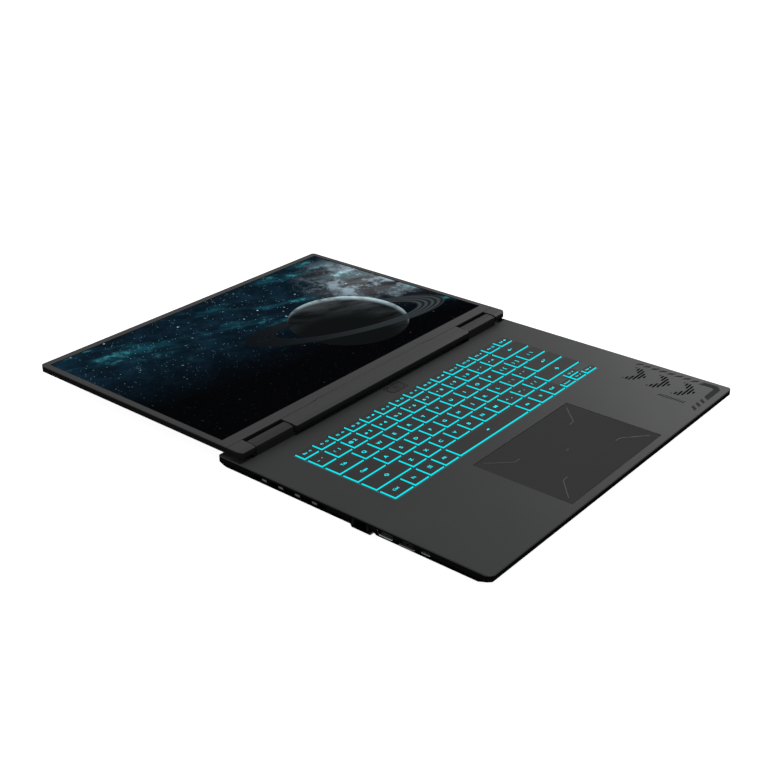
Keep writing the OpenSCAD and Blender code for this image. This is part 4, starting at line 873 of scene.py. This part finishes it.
def turned(tree, x, y, degrees):
    """Sockets with the coordinates along and across an axis through a point, turned by some degrees:
    right * cos + up * sin, and up * cos - right * sin."""
    here = coordinates(tree)
    right = calc(tree, "SUBTRACT", here[0], x)
    up = calc(tree, "SUBTRACT", here[1], y)
    cosine, sine = math.cos(math.radians(degrees)), math.sin(math.radians(degrees))
    return (calc(tree, "ADD", product(tree, right, cosine), product(tree, up, sine)),
            calc(tree, "SUBTRACT", product(tree, up, cosine), product(tree, right, sine)))


def lit(tree, share, colour):
    """Socket with a colour as bright as its share."""
    return blend_of(tree, share, UNLIT, colour)


def stars(tree, spacing, size, rarity):
    """Socket with round stars: cells of that spacing, lit within size of their middle in the rarer cells."""
    cells = shader(tree, "ShaderNodeTexVoronoi", place_of(tree))
    cells.inputs["Scale"].default_value = 1.0 / spacing
    chosen = shader(tree, "ShaderNodeSeparateColor", cells.outputs["Color"]).outputs[0]
    near = ramp(tree, cells.outputs["Distance"], size, 0.0)
    return product(tree, near, ramp(tree, chosen, rarity, 1.0))


picture, tree, surface = material("night_sky_screen", 0.3, 0.0)
surface.inputs["Base Color"].default_value = (0.001, 0.001, 0.0012, 1.0)
along, aside = turned(tree, 0.0, 0.0, DUST_TURN)
flow = shader(tree, "ShaderNodeCombineXYZ", product(tree, along, DUST_STRETCH), aside, 0.0).outputs[0]
clouds = noise(tree, CLOUD_SIZE, 9.0, 0.62, flow)
wisps = noise(tree, WISP_SIZE, 9.0, 0.72)
teal_place = ramp(tree, aside, TEAL_FROM, TEAL_FULL)
white_place = ramp(tree, distance_to(tree, WHITE_X, WHITE_Y, WHITE_RADIUS), 1.0, 0.1)
height = calc(tree, "SUBTRACT", aside, product(tree, along, DUST_SLOPE))
upper_sky = ramp(tree, height, NIGHT_TO, SKY_FROM)
sky = blend_of(tree, upper_sky, NIGHT_BLACK, NIGHT_BLUE)
haze = product(tree, ramp(tree, wisps, 0.4, 0.7), upper_sky)
dust = product(tree, ramp(tree, clouds, 0.50, 0.68), teal_place)
bright_dust = product(tree, ramp(tree, clouds, 0.52, 0.66), ramp(tree, wisps, 0.50, 0.64), teal_place)
white_dust = product(tree, ramp(tree, wisps, 0.46, 0.64), white_place)
brown_dust = product(tree, ramp(tree, clouds, 0.35, 0.6), white_place)
fine_stars = product(tree, stars(tree, *FINE_STARS), FINE_STAR_LIGHT)
star_light = calc(tree, "ADD", fine_stars, stars(tree, *LARGE_STARS), clamp=True)
star_place = calc(tree, "ADD", NIGHT_STAR_LIGHT, calc(tree, "MAXIMUM", upper_sky, white_place))
for share, colour in ((haze, HAZE_BLUE), (dust, DUST_TEAL), (bright_dust, DUST_BRIGHT),
                      (white_dust, DUST_WHITE), (brown_dust, DUST_BROWN),
                      (product(tree, star_light, star_place), STARLIGHT)):
    sky = combined(tree, "ADD", sky, lit(tree, share, colour))

PLANET_X, PLANET_Y = 68.0 * MM, 97.0 * MM
PLANET_RADIUS = 58.0 * MM
PLANET_DARK, PLANET_PALE = (0.004, 0.005, 0.0055), (0.060, 0.068, 0.072)
PLANET_EDGE = (0.50, 0.66, 0.72)
EDGE_X, EDGE_Y = PLANET_X - 8 * MM, PLANET_Y - 6 * MM
HALF_X, HALF_Y = PLANET_X - 30 * MM, PLANET_Y - 26 * MM
RING_TURN = -20.0
RING_TILT = 0.30
RING_INNER, RING_OUTER = (1.28, 1.31), (1.86, 1.8)
RING_COVER = 0.93
SHADE_TO, SUN_FROM = -110 * MM, 100 * MM
RING_DARK, RING_PALE = (0.005, 0.006, 0.007), (0.055, 0.068, 0.074)
RING_WAVES, RING_LEVEL, RING_SWING = 52.0, 0.55, 0.45

disc = ramp(tree, distance_to(tree, PLANET_X, PLANET_Y, PLANET_RADIUS), 1.0, 0.985)
bands = noise(tree, BAND_SIZE, 6.0, 0.6, flow)
edge = ramp(tree, distance_to(tree, EDGE_X, EDGE_Y, PLANET_RADIUS), 0.96, 1.16)
half = ramp(tree, distance_to(tree, HALF_X, HALF_Y, PLANET_RADIUS), 0.7, 1.6)
ground = blend_of(tree, product(tree, half, ramp(tree, bands, 0.3, 0.7)), PLANET_DARK, PLANET_PALE)
lit_edge = lit(tree, product(tree, edge, ramp(tree, wisps, 0.3, 0.6)), PLANET_EDGE)
planet = combined(tree, "ADD", ground, lit_edge)
ring_along, ring_aside = turned(tree, PLANET_X, PLANET_Y, RING_TURN)
squared = calc(tree, "ADD", product(tree, ring_along, ring_along),
               product(tree, ring_aside, ring_aside, 1 / RING_TILT ** 2))
ring_radius = calc(tree, "DIVIDE", calc(tree, "SQRT", squared), PLANET_RADIUS)
wave = calc(tree, "SINE", product(tree, ring_radius, RING_WAVES))
grooves = calc(tree, "ADD", RING_LEVEL, product(tree, wave, RING_SWING))
ring_band = product(tree, ramp(tree, ring_radius, *RING_INNER), ramp(tree, ring_radius, *RING_OUTER))
nearer_half = ramp(tree, ring_aside, 1 * MM, -1 * MM)
in_front = calc(tree, "MAXIMUM", calc(tree, "SUBTRACT", 1.0, disc), nearer_half)
sunward = ramp(tree, ring_along, SHADE_TO, SUN_FROM)
ring_light = blend_of(tree, product(tree, grooves, sunward), RING_DARK, RING_PALE)
sky = blend_of(tree, disc, sky, planet)
sky = blend_of(tree, product(tree, ring_band, in_front, RING_COVER), sky, ring_light)
tree.links.new(sky, surface.inputs["Emission Color"])
surface.inputs["Emission Strength"].default_value = 1.0
dress("display_panel", picture)

# ---------------------------------------------------------------- camera and cable in the lid
# A small lens looks out through the middle of the free edge's bezel. Its barrel is black plastic on
# a green board. A flat cable in black film feeds the panel.

BOARD_GREEN = (0.008, 0.045, 0.03)
BARREL_BLACK = (0.004, 0.004, 0.0045)
BARREL_FROM_Z = 23.95 * MM
board_green = plastic("solder_mask", BOARD_GREEN, roughness=0.35, specular=0.4)[0]
webcam, tree, surface = plastic("webcam_board_and_barrel", BOARD_GREEN, roughness=0.35, specular=0.1)
barrel = calc(tree, "GREATER_THAN", coordinates(tree)[2], BARREL_FROM_Z)
tree.links.new(blend_of(tree, barrel, BOARD_GREEN, BARREL_BLACK), surface.inputs["Base Color"])
dress("webcam_module", webcam)

# A dome of rings about the lens's axis, in millimetres: radius * sin(lean) out from the axis and
# rise * cos(lean) along it.
LENS_RADIUS = 0.8
LENS_RISE = 0.2
LENS_PLACE = (0.0, 238.4, 24.5)
LENS_SIDES = 20
LENS_RINGS = 5
FIRST_LEAN = 0.25
around, lean = np.meshgrid(np.arange(LENS_SIDES) * 2 * math.pi / LENS_SIDES,
                           np.linspace(FIRST_LEAN, 1, LENS_RINGS) * math.pi / 2)
out = LENS_RADIUS * np.sin(lean)
dome = np.stack((out * np.cos(around), out * np.sin(around), LENS_RISE * np.cos(lean)), -1).reshape(-1, 3)
level, side = np.meshgrid(np.arange(LENS_RINGS - 1), np.arange(LENS_SIDES), indexing="ij")
here, after = level * LENS_SIDES + side, level * LENS_SIDES + (side + 1) % LENS_SIDES
quads = np.stack((here, here + LENS_SIDES, after + LENS_SIDES, after), -1).reshape(-1, 4)
rim = tuple(range((LENS_RINGS - 1) * LENS_SIDES, LENS_RINGS * LENS_SIDES))
lens_faces = [tuple(range(LENS_SIDES)), rim[::-1], *map(tuple, quads.tolist())]
lens_glass, tree, surface = material("lens_glass", 0.08, 0.5)
coating = blend_of(tree, noise(tree, 0.0006), (0.004, 0.003, 0.008), (0.01, 0.008, 0.02))
tree.links.new(coating, surface.inputs["Base Color"])
joined("webcam_lens", [((dome + LENS_PLACE) * MM, lens_faces)], lens_glass, "lid")
dress("display_cable", dark_plastic)

# ---------------------------------------------------------------- inside the base
# The boards are glass fibre under green varnish, the battery is wrapped in black film, and copper
# pipes join the chips to the dark fins that show behind the vents. Fans and speakers are moulded.

copper = metal("copper", (0.62, 0.3, 0.17), 0.35)
dark_fins = metal("dark_fins", (0.12, 0.12, 0.13), 0.45)
battery_wrap = plastic("battery_wrap", (0.012, 0.012, 0.013), roughness=0.35, specular=0.4)[0]
for name in ("mainboard", "ssd_module", "memory_modules", "wifi_card"):
    dress(name, board_green)
dress("battery_pack", battery_wrap)
dress("heat_pipes", copper)
dress("fin_stacks", dark_fins)
for name in ("fan_housing_left", "fan_housing_right", "fan_rotor_left", "fan_rotor_right",
             "speaker_left", "speaker_right"):
    dress(name, dark_plastic)
